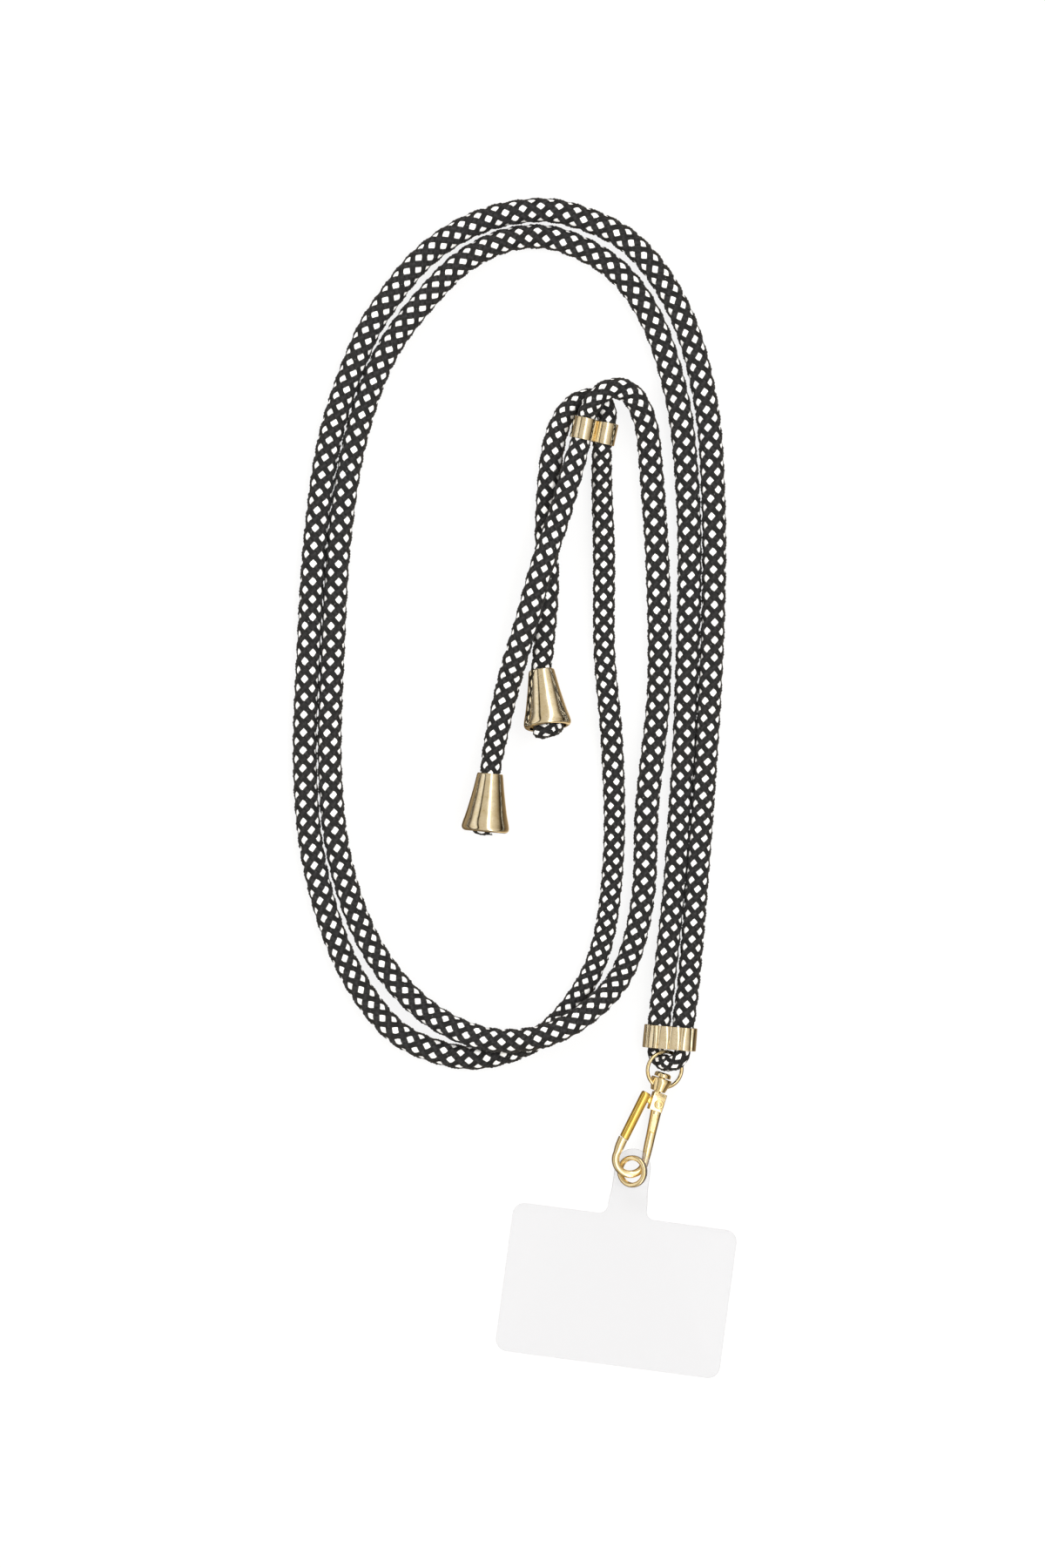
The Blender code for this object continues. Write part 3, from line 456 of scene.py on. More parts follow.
def ribbon_material():
    """Black twisted yarn: two plies side by side, each with its slanting filaments. Its base colour
    carries painted highlights: lighter streaks along the filaments, and lighter tops where a ribbon
    rides over a crossing.
    """
    settings = {
        "Roughness": 0.33,
        "Specular IOR Level": 0.42,
        "Sheen Weight": 0.02,
        "Sheen Roughness": 0.4,
    }
    made, tree, principled = shader("black_ribbon", settings)
    place = node(tree, "ShaderNodeUVMap", uv_map="braid")
    stretch = node(tree, "ShaderNodeMapping", Scale=(2.2, 2.6, 1.0), Rotation=(0.0, 0.0, 0.5))
    link(tree, place, "UV", stretch, "Vector")
    twist = pattern(tree, "Wave", stretch, "Vector", Scale=1.0, Distortion=1.4, Detail=2.0)
    spread = pattern(tree, "Noise", place, "UV", Scale=3.0, Detail=3.0, Roughness=0.6)
    tone = ramp(tree, spread, "Fac", (0.35, (0.002,) * 3), (0.75, (0.010, 0.010, 0.011)))
    # Painted highlight: lighter streaks along the twisted filaments stand in for their gloss.
    shine = ramp(tree, twist, "Fac", (0.5, (0.0,) * 3), (1.0, (0.06, 0.06, 0.063)))
    both = mixed(tree, "ADD", tone.outputs["Color"], shine.outputs["Color"])
    rise = node(tree, "ShaderNodeAttribute", attribute_name="rise")
    # Painted highlight: where a ribbon rides up over a crossing, its top is made lighter in its
    # base colour.
    crossing_highlight = ramp(tree, rise, "Fac", (0.62, (0.0,) * 3), (1.0, (0.034, 0.034, 0.036)))
    highlighted_tone = mixed(tree, "ADD", both, crossing_highlight.outputs["Color"])
    tree.links.new(highlighted_tone, principled.inputs["Base Color"])
    bump(tree, twist, "Fac", principled, 1.0, 0.0002)
    bump(tree, spread, "Fac", principled, 0.3, 0.00005)
    return made


def core_material():
    """White yarn under the ribbons, finely ribbed across."""
    settings = {"Roughness": 0.75, "Specular IOR Level": 0.3}
    made, tree, principled = shader("white_core", settings)
    place = node(tree, "ShaderNodeUVMap", uv_map="braid")
    ribs = pattern(tree, "Wave", place, "UV", Scale=1.6, Distortion=1.0, Detail=2.0)
    tone = ramp(tree, ribs, "Fac", (0.0, (0.90,) * 3), (0.7, (0.98,) * 3))
    link(tree, tone, "Color", principled, "Base Color")
    bump(tree, ribs, "Fac", principled, 0.25, 0.00006)
    return made


def plated(name, light, deep, roughness):
    """Polished plating over a slightly uneven casting, with fine specks and soft patches."""
    made, tree, principled = shader(name, {"Metallic": 1.0})
    place = node(tree, "ShaderNodeTexCoord")
    patches = pattern(tree, "Noise", place, "Object", Scale=420.0, Detail=3.0, Roughness=0.55)
    tone = ramp(tree, patches, "Fac", (0.3, deep), (0.7, light))
    stops = (0.25, (roughness * 0.6,) * 3), (0.8, (roughness * 1.5,) * 3)
    gloss = ramp(tree, patches, "Fac", *stops)
    link(tree, gloss, "Color", principled, "Roughness")
    specks = pattern(tree, "Noise", place, "Object", Scale=2600.0, Detail=2.0)
    pits = ramp(tree, specks, "Fac", (0.58, (1.0,) * 3), (0.68, (0.86, 0.82, 0.76)))
    both = mixed(tree, "MULTIPLY", tone.outputs["Color"], pits.outputs["Color"])
    tree.links.new(both, principled.inputs["Base Color"])
    bump(tree, patches, "Fac", principled, 0.03, 0.0002)
    bump(tree, specks, "Fac", principled, 0.04, 0.00004)
    return made


def card_material():
    """Clear flexible sheet, faintly milky, with slow waves in its gloss."""
    settings = {"Base Color": (0.38, 0.38, 0.42, 1.0), "Alpha": 0.15, "Coat Weight": 0.3}
    made, tree, principled = shader("clear_card", settings)
    place = node(tree, "ShaderNodeTexCoord")
    waves = pattern(tree, "Noise", place, "Object", Scale=45.0, Detail=2.0)
    gloss = ramp(tree, waves, "Fac", (0.3, (0.12,) * 3), (0.7, (0.3,) * 3))
    link(tree, gloss, "Color", principled, "Roughness")
    bump(tree, waves, "Fac", principled, 0.15, 0.0006)
    return made


def edge_material():
    """The card's cut edge, painted darker: a painted shade for the light that it carries along
    itself.
    """
    made, tree, principled = shader("card_edge", {"Roughness": 0.3, "Alpha": 0.6})
    place = node(tree, "ShaderNodeTexCoord")
    marks = pattern(tree, "Noise", place, "Object", Scale=260.0, Detail=2.0)
    tone = ramp(tree, marks, "Fac", (0.3, (0.28, 0.28, 0.31)), (0.7, (0.45, 0.45, 0.49)))
    link(tree, tone, "Color", principled, "Base Color")
    return made


BLACK = ribbon_material()
WHITE = core_material()
PALE_GOLD = plated("pale_gold", (0.96, 0.86, 0.66), (0.86, 0.74, 0.50), 0.12)
BRIGHT_GOLD = plated("bright_gold", (1.0, 0.87, 0.58), (0.98, 0.77, 0.40), 0.1)
YELLOW_GOLD = plated("yellow_gold", (0.98, 0.72, 0.22), (0.90, 0.60, 0.12), 0.1)
CLEAR = card_material()
EDGE = edge_material()


# Meshes


def frame_at(place, height, turn, roll=0.0):
    """A frame at a place in plan, turned about Z and then rolled about its own Y."""
    return (
        Matrix.Translation((place[0], place[1], height))
        @ Matrix.Rotation(turn, 4, "Z")
        @ Matrix.Rotation(roll, 4, "Y")
    )


def new_object(name, data):
    """A new object in the scene."""
    made = bpy.data.objects.new(name, data)
    bpy.context.scene.collection.objects.link(made)
    return made


def add_piece(name, points, quads, finish, slot, body, uv=None):
    """A smooth piece from arrays of points in millimetres and of quads, riding on a body. uv has
    a place for each corner of each quad."""
    mesh = bpy.data.meshes.new(name)
    mesh.vertices.add(len(points))
    mesh.vertices.foreach_set("co", (np.asarray(points, np.float32) * MM).ravel())
    mesh.loops.add(quads.size)
    mesh.loops.foreach_set("vertex_index", quads.ravel().astype(np.int32))
    mesh.polygons.add(len(quads))
    mesh.polygons.foreach_set("loop_start", np.arange(0, quads.size, 4, dtype=np.int32))
    mesh.polygons.foreach_set("loop_total", np.full(len(quads), 4, np.int32))
    mesh.update(calc_edges=True)
    mesh.validate()
    mesh.shade_smooth()
    if uv is not None:
        layer = mesh.uv_layers.new(name="braid")
        layer.data.foreach_set("uv", np.asarray(uv, np.float32).ravel())
    mesh.materials.append(finish)
    made = new_object(name, mesh)
    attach(made, body)
    return made


# Rope


def smooth_line(rows, step):
    """Rows read from a smooth curve through the route's rows, a step apart. It is the CAD's own
    curve, read more finely."""
    rows = [Vector(row) for row in rows]
    knots = [0.0]
    for a, b in zip(rows, rows[1:]):
        knots.append(knots[-1] + (b.xyz - a.xyz).length ** 0.5)
    slopes = []
    for i in range(len(rows)):
        a = max(i - 1, 0)
        b = min(i + 1, len(rows) - 1)
        slopes.append((rows[b] - rows[a]) / (knots[b] - knots[a]))
    line = []
    for i in range(len(rows) - 1):
        span = knots[i + 1] - knots[i]
        steps = max(1, math.ceil((rows[i + 1].xyz - rows[i].xyz).length / step))
        for k in range(steps):
            t = k / steps
            line.append(
                rows[i] * (2 * t**3 - 3 * t**2 + 1)
                + slopes[i] * span * (t**3 - 2 * t**2 + t)
                + rows[i + 1] * (3 * t**2 - 2 * t**3)
                + slopes[i + 1] * span * (t**3 - t**2)
            )
    line.append(rows[-1])
    return np.array([tuple(row) for row in line])


class Rope:
    """A line's places, sideways directions and radii, read at any distance along it."""

    def __init__(self, line):
        centres = line[:, :3]
        self.radius = line[:, 3]
        steps = np.linalg.norm(np.diff(centres, axis=0), axis=1)
        self.along = np.concatenate([[0.0], np.cumsum(steps)])
        self.centres = centres
        tangents = np.gradient(centres, self.along, axis=0)
        tangents /= np.linalg.norm(tangents, axis=1)[:, None]
        sides = np.zeros_like(centres)
        side = np.cross(tangents[0], (0.0, 0.0, 1.0))
        for i, tangent in enumerate(tangents):
            side = side - tangent * np.dot(side, tangent)
            side /= np.linalg.norm(side)
            sides[i] = side
        self.sides = sides
        self.ups = np.cross(sides, tangents)
        self.length = self.along[-1]
        # Where the rope is drawn thinner, its braid is finer too
        turned_by = np.cumsum(steps * ROPE_D / 2 / self.radius[1:])
        self.turns = np.concatenate([[0.0], turned_by]) / PITCH

    def read(self, values, at):
        """Values kept for each place on the line, read at distances along it."""
        if values.ndim == 1:
            return np.interp(at, self.along, values)
        return np.stack([np.interp(at, self.along, values[:, i]) for i in range(3)], -1)

    def point(self, at, angle, share):
        """Places at a distance along, an angle round, and a share of the radius out."""
        at = np.clip(at, 0.0, self.length)
        out = np.cos(angle)[..., None] * self.read(self.sides, at)
        out = out + np.sin(angle)[..., None] * self.read(self.ups, at)
        place = self.read(self.centres, at) + out * (self.read(self.radius, at) * share)[..., None]
        place[..., 2] = np.maximum(place[..., 2], FLOOR_CLEAR)
        return place


def grid(rows, columns, wrap):
    """Quads of a sheet of rows by columns, closed round its columns if wrap."""
    r = np.arange(rows - 1)[:, None]
    c = np.arange(columns if wrap else columns - 1)[None, :]
    n = (c + 1) % columns
    return np.stack(
        [r * columns + c, r * columns + n, (r + 1) * columns + n, (r + 1) * columns + c], -1
    ).reshape(-1, 4)


def drift(turns, phase):
    """How far the braid has slipped round the rope, a slow change along it."""
    return sum(size * np.sin(turns * rate + share * phase) for size, rate, share in DRIFT)


def core(name, rope, phase):
    """The white core, swelling into the openings between the ribbons."""
    at = np.linspace(0.0, rope.length, int(rope.length / CORE_STEP) + 1)
    angle = np.arange(CORE_SIDES) * math.tau / CORE_SIDES
    at2, angle2 = np.meshgrid(at, angle, indexing="ij")
    turns = rope.read(rope.turns, at2)
    right = RIBBONS * (angle2 - drift(turns, phase) - math.tau * turns)
    left = RIBBONS * (angle2 - drift(turns, phase) + math.tau * turns)
    opening = (0.5 - 0.5 * np.cos(right)) * (0.5 - 0.5 * np.cos(left))
    share = CORE_SHARE + CORE_SWELL * opening
    points = rope.point(at2, angle2, share).reshape(-1, 3)
    quads = grid(len(at), CORE_SIDES, True)
    uv = np.stack([angle2 * ROPE_D / 2, at2], -1).reshape(-1, 2)[quads.ravel()]
    return add_piece(name, points, quads, WHITE, "rope", STRAP, uv)


# Across a ribbon: how far out, as a share of half its width, and how high, as a share of its
# thickness. Two plies lie side by side over a flat back.
RIBBON_SECTION = (
    (-1.0, 0.15),
    (-0.82, 0.72),
    (-0.5, 1.0),
    (-0.2, 0.82),
    (0.0, 0.6),
    (0.2, 0.82),
    (0.5, 1.0),
    (0.82, 0.72),
    (1.0, 0.15),
    (0.0, 0.0),
)


def ribbons(name, rope, phase, hand):
    """The ribbons that wind one way round, over and under those of the other hand."""
    at = np.arange(0.0, rope.length + STEP, STEP)
    section = np.array(RIBBON_SECTION)
    slope = math.atan(math.pi * ROPE_D / PITCH)
    scale = rope.read(rope.radius, at) / (ROPE_D / 2)
    turns = rope.read(rope.turns, at)
    weave = WEAVE * hand * np.cos(2 * RIBBONS * math.tau * turns)
    rise = np.repeat(0.5 + 0.5 * weave / WEAVE, len(section))
    all_points = []
    all_uv = []
    for k in range(RIBBONS):
        middle = drift(turns, phase) + hand * math.tau * turns + k * math.tau / RIBBONS
        across = section[None, :, 0] * RIBBON_WIDTH / 2 * scale[:, None]
        where = at[:, None] - hand * math.sin(slope) * across
        radius = scale[:, None] * ROPE_D / 2
        angle = middle[:, None] + math.cos(slope) * across / radius
        lift = RIBBON_THICK * (section[None, :, 1] - 1.0) + (weave + PROUD)[:, None]
        share = 1.0 + lift / (ROPE_D / 2)
        all_points.append(rope.point(where, angle, share).reshape(-1, 3))
        u = np.broadcast_to(section[None, :, 0] * RIBBON_WIDTH / 2, where.shape)
        v = np.broadcast_to((at / math.cos(slope))[:, None] + RIBBON_SHIFT * k, where.shape)
        all_uv.append(np.stack([u, v], -1).reshape(-1, 2))
    quads = grid(len(at), len(section), True)
    if hand > 0:
        quads = quads[:, ::-1]
    count = len(at) * len(section)
    every = np.concatenate([quads + k * count for k in range(RIBBONS)])
    uv = np.concatenate(all_uv)[every.ravel()]
    made = add_piece(name, np.concatenate(all_points), every, BLACK, "rope", STRAP, uv)
    # The rise marks how high each section rides in the weave, and feeds the ribbon material's
    # painted highlight.
    layer = made.data.attributes.new("rise", "FLOAT", "POINT")
    layer.data.foreach_set("value", np.tile(rise, RIBBONS).astype(np.float32))
    return made


def braided(name, line):
    """A rope along a line: its core, and its two sets of ribbons."""
    rope = Rope(line)
    phase = BRAID_PHASE[name]
    middle = core(f"{name}_core", rope, phase)
    right = ribbons(f"{name}_ribbons_right", rope, phase, 1)
    left = ribbons(f"{name}_ribbons_left", rope, phase, -1)
    return rope, middle, [right, left]


def slider_frame():
    """The slider lies rolled, with its right barrel on the floor and its left one raised."""
    rise = SLIDER_HOLE_SPACING / 2 * math.sin(SLIDER_ROLL)
    return frame_at(SLIDER_AT, SLIDER_BARREL_R + rise, SLIDER_TURN, SLIDER_ROLL)


def placed(route, side):
    """Route rows with heights measured from the floor and radii for shares, and the slider's hole
    on that side filled in, entered from below on the right and from above on the left."""
    rows = []
    for row in route:
        if row is SLIDER_HOLE:
            for along in (-SLIDER_LENGTH / 2, 0.0, SLIDER_LENGTH / 2):
                point = slider_frame() @ Vector((side * SLIDER_HOLE_SPACING / 2, side * along, 0))
                rows.append((*point, SLIDER_ROPE_D / 2))
        else:
            x, y, lift, share = row
            rows.append((x, y, ROPE_D * share / 2 + lift, ROPE_D * share / 2))
    return rows


def cap_frame(place, turn, settled):
    """A cap rests on its mouth's rim. A settled one also rests on its neck, so that its axis climbs
    to its mouth; the other one's rope holds its neck up and its axis level."""
    if not settled:
        return frame_at(place, CAP_MOUTH_R, turn)
    rim_at = CAP_RIM_AT * CAP_LENGTH
    slope = math.atan2(CAP_MOUTH_R - CAP_NECK_R, rim_at)
    height = CAP_NECK_R * math.cos(slope)
    return frame_at(place, height, turn) @ Matrix.Rotation(-slope, 4, "X")


def strand(name, route, side, cap, knot_top):
    """One strand, from the middle of the ferrule to the knot inside its cap."""
    place = frame_at(FERRULE_AT, FERRULE_HEIGHT, FERRULE_TURN)
    mid = (LOOP_LEG_SPACING + FERRULE_ROPE_SPACING) / 4
    inside = place @ Vector((side * mid, GAP, 0))
    mouth = place @ Vector((side * FERRULE_ROPE_SPACING / 2, FERRULE_LENGTH / 2 + GAP, 0))
    rows = [
        (*inside, (FERRULE_ROPE_D + LOOP_ROPE_D) / 4),
        (*mouth, FERRULE_ROPE_D / 2),
        *placed(route, side),
        (*(cap @ Vector((0, GAP, 0))), CAP_ROPE_D / 2),
        (*(cap @ Vector((0, -(knot_top - GAP), 0))), CAP_ROPE_D / 2),
    ]
    line = smooth_line(rows, ROPE_STEP)
    line[:, 2] = np.maximum(line[:, 2], line[:, 3])
    rope, middle, wound = braided(name, line)
    path = [tuple(point * MM) for point in rope.centres[:-2:PATH_STRIDE]]
    path.append(tuple(rope.centres[-1] * MM))
    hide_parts(name)


def rope_loop():
    """The fold of the rope below the ferrule, round the clasp's eye: low on its left side, under
    the ring, and high on its right, over it."""
    half = LOOP_LEG_SPACING / 2
    edge = (LOOP_LEG_SPACING + FERRULE_ROPE_SPACING) / 4
    thin = LOOP_ROPE_D / 2
    joint_r = (FERRULE_ROPE_D + LOOP_ROPE_D) / 4
    mouth = -FERRULE_LENGTH / 2
    high = LOOP_LEAN_AT_MOUTH
    inside = high * LOOP_LEAN_INSIDE
    rows = [(-edge, -2 * GAP, 0, joint_r), (-edge, mouth / 2, -inside, thin)]
    rows.append((-edge, mouth + GAP, -high, thin))
    for i in range(1, LOOP_STEPS):
        turn = math.pi * i / LOOP_STEPS
        ease = min(1.0, LOOP_EASE[0] + LOOP_EASE[1] * math.sin(turn))
        height = LOOP_BOW * math.sin(turn) - LOOP_SWAY * math.sin(2 * turn)
        height -= LOOP_LEAN * math.cos(turn) * ease
        rows.append((-half * math.cos(turn), mouth - LOOP_DEPTH * math.sin(turn), height, thin))
    rows.append((edge, mouth + GAP, high, thin))
    rows += [(edge, mouth / 2, inside, thin), (edge, -2 * GAP, 0, joint_r)]
    place = frame_at(FERRULE_AT, FERRULE_HEIGHT, FERRULE_TURN)
    line = [(*(place @ Vector((x, y, z))), radius) for x, y, z, radius in rows]
    _, middle, _ = braided("strand_loop", smooth_line(line, FINE_ROPE_STEP))
    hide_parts("strand_loop")


# Fittings


def set_in(place, points):
    """Points of a frame, moved into the plan."""
    return points @ np.array(place.to_3x3()).T + np.array(place.translation)


def metal(name, form, finish, slot, body, node_name):
    """A metal piece that stands for a CAD node, with its hard edges kept sharp. A form is its
    points and its quads."""
    made = add_piece(name, *form, finish, slot, body)
    work = bmesh.new()
    work.from_mesh(made.data)
    bmesh.ops.recalc_face_normals(work, faces=work.faces)
    work.to_mesh(made.data)
    work.free()
    made.data.set_sharp_from_angle(angle=SHARP_ANGLE)
    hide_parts(node_name)
    return made


def eased(outline, radius):
    """A closed outline with its corners rounded."""
    made = []
    for i, corner in enumerate(outline):
        corner = Vector(corner)
        before = Vector(outline[i - 1]) - corner
        after = Vector(outline[(i + 1) % len(outline)]) - corner
        start = corner + before.normalized() * min(radius, before.length * 0.45)
        end = corner + after.normalized() * min(radius, after.length * 0.45)
        for k in range(EASE_STEPS + 1):
            t = k / EASE_STEPS
            made.append(tuple(start * (1 - t) ** 2 + corner * 2 * t * (1 - t) + end * t**2))
    return made


def turned(profile, place, x=0.0, sides=BAR_SIDES):
    """A turned form: a closed profile of rows (height along Y, radius), its axis x to the side."""
    profile = np.array(profile)
    angle = np.arange(sides) * math.tau / sides
    across = x + profile[:, 1, None] * np.cos(angle)
    high = profile[:, 1, None] * np.sin(angle)
    along = np.broadcast_to(profile[:, 0, None], across.shape)
    points = np.stack([across, along, high], -1).reshape(-1, 3)
    return set_in(place, points), grid(len(profile) + 1, sides, True) % len(points)


def end_cap(name, place):
    """A bell with a rounded lip, open at its mouth."""
    grow = CAP_MOUTH_R - CAP_NECK_R
    rows = [(-along * CAP_LENGTH, CAP_NECK_R + out * grow, 0, 0) for along, out in CAP_OUTLINE]
    outer = smooth_line(rows, CAP_STEP)[:, :2]
    lip = CAP_OUTLINE[-1][1] * grow + CAP_NECK_R - CAP_WALL * CAP_LIP_IN
    inner = [(-CAP_LENGTH + CAP_WALL / 6, lip)]
    for along, out in reversed(CAP_OUTLINE[1:-2]):
        inner.append((-along * CAP_LENGTH, CAP_NECK_R + out * grow - CAP_WALL))
    inner.append((0.0, CAP_NECK_R - CAP_WALL))
    form = turned([*map(tuple, outer), *inner], place)
    return metal(f"{name}_bell", form, PALE_GOLD, "pale_gold", STRAP, name)


def end_knot(name, place, shows, radius):
    """The rope's end, drawn into a tight turn and tucked under itself."""
    rope_r = radius * KNOT_ROPE_SHARE
    turn_r = radius - rope_r
    low = CAP_LENGTH + shows - rope_r
    high = low - KNOT_RISE
    rows = [(0.0, -high + KNOT_LEAD, 0.0, rope_r)]
    for i in range(KNOT_STEPS + 1):
        turn = math.tau * KNOT_TURNS * i / KNOT_STEPS
        drop = high + (low - high) * min(1.0, KNOT_DROP * i / KNOT_STEPS)
        rows.append((turn_r * math.sin(turn), -drop, turn_r * math.cos(turn), rope_r))
    x, z = (share * turn_r for share in KNOT_TUCK)
    rows.append((x, -low + KNOT_TUCK_RISE, z, rope_r * KNOT_TUCK_SHARE))
    line = smooth_line(rows, FINE_ROPE_STEP)
    line[:, :3] = set_in(place, line[:, :3])
    _, middle, wound = braided(name, line)
    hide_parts(name)
    return [middle, *wound]


def ferrule():
    """A crimped band round both strands, pressed into panels that part in sharp valleys."""
    bore = FERRULE_ROPE_D / 2 + GAP
    half = FERRULE_ROPE_SPACING / 2
    straight = FERRULE_ROPE_SPACING
    bend = math.pi * (bore + FERRULE_WALL)
    whole = 2 * (straight + bend)
    count = FLUTES * FLUTE_SIDES
    at = np.arange(count) * whole / count
    first = at < bend
    second = (at >= bend) & (at < bend + straight)
    third = (at >= bend + straight) & (at < 2 * bend + straight)
    turn = np.select(
        [first, second, third],
        [at / bend, 1.0, 1.0 + (at - bend - straight) / bend],
        2.0,
    ) * math.pi - math.pi / 2
    centre = np.select(
        [first, second, third],
        [half, half - (at - bend), -half],
        (at - 2 * bend - straight) - half,
    )
    corners = [(-1, 0.0), (-1, 1.0), (1, 1.0), (1, 0.0)]
    profile = [(y * FERRULE_LENGTH / 2, out * FERRULE_WALL) for y, out in corners]
    edges = eased(profile, FERRULE_EDGE_R)
    step = FERRULE_LENGTH * FERRULE_ROWS_SPAN / FERRULE_ROWS
    face = [((k - FERRULE_ROWS / 2) * step, FERRULE_WALL) for k in range(1, FERRULE_ROWS)]
    half_way = len(edges) // 2
    fine = np.array(edges[:half_way] + face + edges[half_way:])
    y, out = fine[:, 0, None], fine[:, 1, None]
    sharpness = VALLEY_SHARPNESS - VALLEY_TAPER * y / FERRULE_LENGTH
    valley = (1 - np.abs(np.sin(math.pi * FLUTES * at / whole))) ** sharpness
    flare = 1 - VALLEY_FLARE + VALLEY_FLARE * np.abs(y * 2 / FERRULE_LENGTH)
    outer = np.clip(out / FERRULE_WALL, 0.0, 1.0)
    radius = bore + out + outer * (FLUTE_DEPTH - VALLEY_DEPTH * valley * flare)
    across = centre + radius * np.cos(turn)
    high = radius * np.sin(turn)
    along = np.broadcast_to(y, across.shape)
    points = np.stack([across, along, high], -1).reshape(-1, 3)
    place = frame_at(FERRULE_AT, FERRULE_HEIGHT, FERRULE_TURN)
    form = set_in(place, points), grid(len(fine) + 1, count, True) % len(points)
    metal("ferrule_band", form, PALE_GOLD, "pale_gold", STRAP, "ferrule")


def slider():
    """Two barrels side by side, with rounded ends."""
    bore = SLIDER_ROPE_D / 2 + GAP
    half = SLIDER_LENGTH / 2
    outer = SLIDER_BARREL_R
    corners = [(-half, bore), (-half, outer), (half, outer), (half, bore)]
    profile = eased(corners, SLIDER_EDGE_R)
    for side, label in ((-1, "left"), (1, "right")):
        form = turned(profile, slider_frame(), side * SLIDER_HOLE_SPACING / 2)
        metal(f"slider_barrel_{label}", form, PALE_GOLD, "pale_gold", STRAP, "slider")


def swivel():
    """The boss that the hook's post turns in, and the leaning ring on it that links the rope."""
    place = frame_at(CLASP_AT, CLASP_AXIS_HEIGHT, CLASP_TURN)
    bore = POST_R + GAP
    top = GAP + BOSS_LENGTH
    profile = [(GAP, bore), (GAP, BOSS_FOOT_R), (top - BOSS_RIM, BOSS_R)]
    profile += [(top, BOSS_R), (top, bore)]
    form = turned(eased(profile, BOSS_EDGE_R), place)
    metal("swivel_boss", form, BRIGHT_GOLD, "pale_gold", STRAP, "swivel_eye")
    turn = np.linspace(EYE_OPEN - math.pi / 2, math.pi * 1.5 - EYE_OPEN, EYE_STEPS)
    x = EYE_HALF_WIDTH * np.cos(turn)
    y = GAP + EYE_FOOT + EYE_HALF_LENGTH * (1 + np.sin(turn))
    rise = EYE_RISE * (y - GAP - EYE_FOOT) - EYE_TILT * x
    centres = np.stack([x, y, rise], -1)
    along = np.gradient(centres, axis=0)
    along /= np.linalg.norm(along, axis=1)[:, None]
    flat = np.array(Vector((EYE_TILT, -EYE_RISE, 1)).normalized())
    side = np.cross(along, flat)
    side /= np.linalg.norm(side, axis=1)[:, None]
    angle = np.arange(EYE_SIDES) * math.tau / EYE_SIDES
    out = side[:, None] * np.cos(angle)[:, None] + flat * np.sin(angle)[:, None]
    points = set_in(place, (centres[:, None] + out * EYE_WIRE_R).reshape(-1, 3))
    form = points, grid(EYE_STEPS, EYE_SIDES, True)
    metal("swivel_ring", form, BRIGHT_GOLD, "pale_gold", STRAP, "swivel_eye")


def swept(stations, place, squareness, end_slant, recess=None):
    """A bar along rows of (x, y, width, thickness), its section rounded from round (2) towards
    square, its end turned by a slant. recess sinks its face between two heights along it."""
    line = smooth_line(stations, BAR_STEP)
    along = np.gradient(line[:, :2], axis=0)
    along /= np.linalg.norm(along, axis=1)[:, None]
    c, s = math.cos(end_slant), math.sin(end_slant)
    along[-1] = (c * along[-1, 0] - s * along[-1, 1], s * along[-1, 0] + c * along[-1, 1])
    angle = np.arange(BAR_SIDES) * math.tau / BAR_SIDES
    cos, sin = np.cos(angle), np.sin(angle)
    out = (np.abs(cos) ** squareness + np.abs(sin) ** squareness) ** (-1 / squareness)
    across = out * cos * line[:, 2, None] / 2
    high = out * sin * line[:, 3, None] / 2
    x = line[:, 0, None] - along[:, 1, None] * across
    y = line[:, 1, None] + along[:, 0, None] * across
    if recess:
        low, top, middle, width, floor_height = recess
        inside = (y > low) & (y < top) & (np.abs(across - middle) < width / 2)
        high = np.where(inside, np.minimum(high, floor_height), high)
    rings = np.stack([x, y, high], -1)
    rings = np.concatenate([shrunk(rings[0]), rings, shrunk(rings[-1])[::-1]])
    return set_in(place, rings.reshape(-1, 3)), grid(len(rings), BAR_SIDES, True)


def shrunk(ring):
    """A ring's middle and the ring eased in, which close a bar's end."""
    middle = ring.mean(axis=0)
    return np.stack([middle + (ring - middle) * share for share in (NEAR_MIDDLE, 0.9)])


def slab(outline, low, high, place, round_r):
    """A convex plate with rounded edges, between two heights."""
    outline = np.array(outline)
    middle = outline.mean(axis=0)
    reach = np.abs(outline - middle).max()
    rings = []
    for k in range(SLAB_STEPS + 1):
        turn = math.pi / 2 * k / SLAB_STEPS
        share = 1 - round_r * (1 - math.sin(turn)) / reach
        rings.append((share, low + round_r * (1 - math.cos(turn))))
    rings += [(share, high + low - z) for share, z in reversed(rings)]
    rings = [(NEAR_MIDDLE, low), *rings, (NEAR_MIDDLE, high)]
    points = [
        np.column_stack([middle + (outline - middle) * share, np.full(len(outline), z)])
        for share, z in rings
    ]
    return set_in(place, np.concatenate(points)), grid(len(rings), len(outline), True)


def joined(*forms):
    """One set of points and quads from several forms."""
    points = []
    quads = []
    count = 0
    for form_points, form_quads in forms:
        points.append(form_points)
        quads.append(form_quads + count)
        count += len(form_points)
    return np.concatenate(points), np.concatenate(quads)


def hook_frame():
    """The hook lies rolled about the clasp's axis."""
    return frame_at(CLASP_AT, CLASP_AXIS_HEIGHT, CLASP_TURN, HOOK_ROLL)


def arc(x, y, radius, start, end, steps):
    """Points of an arc, angles in degrees, both ends included."""
    turns = [math.radians(start + (end - start) * i / steps) for i in range(steps + 1)]
    return [(x + radius * math.cos(a), y + radius * math.sin(a)) for a in turns]


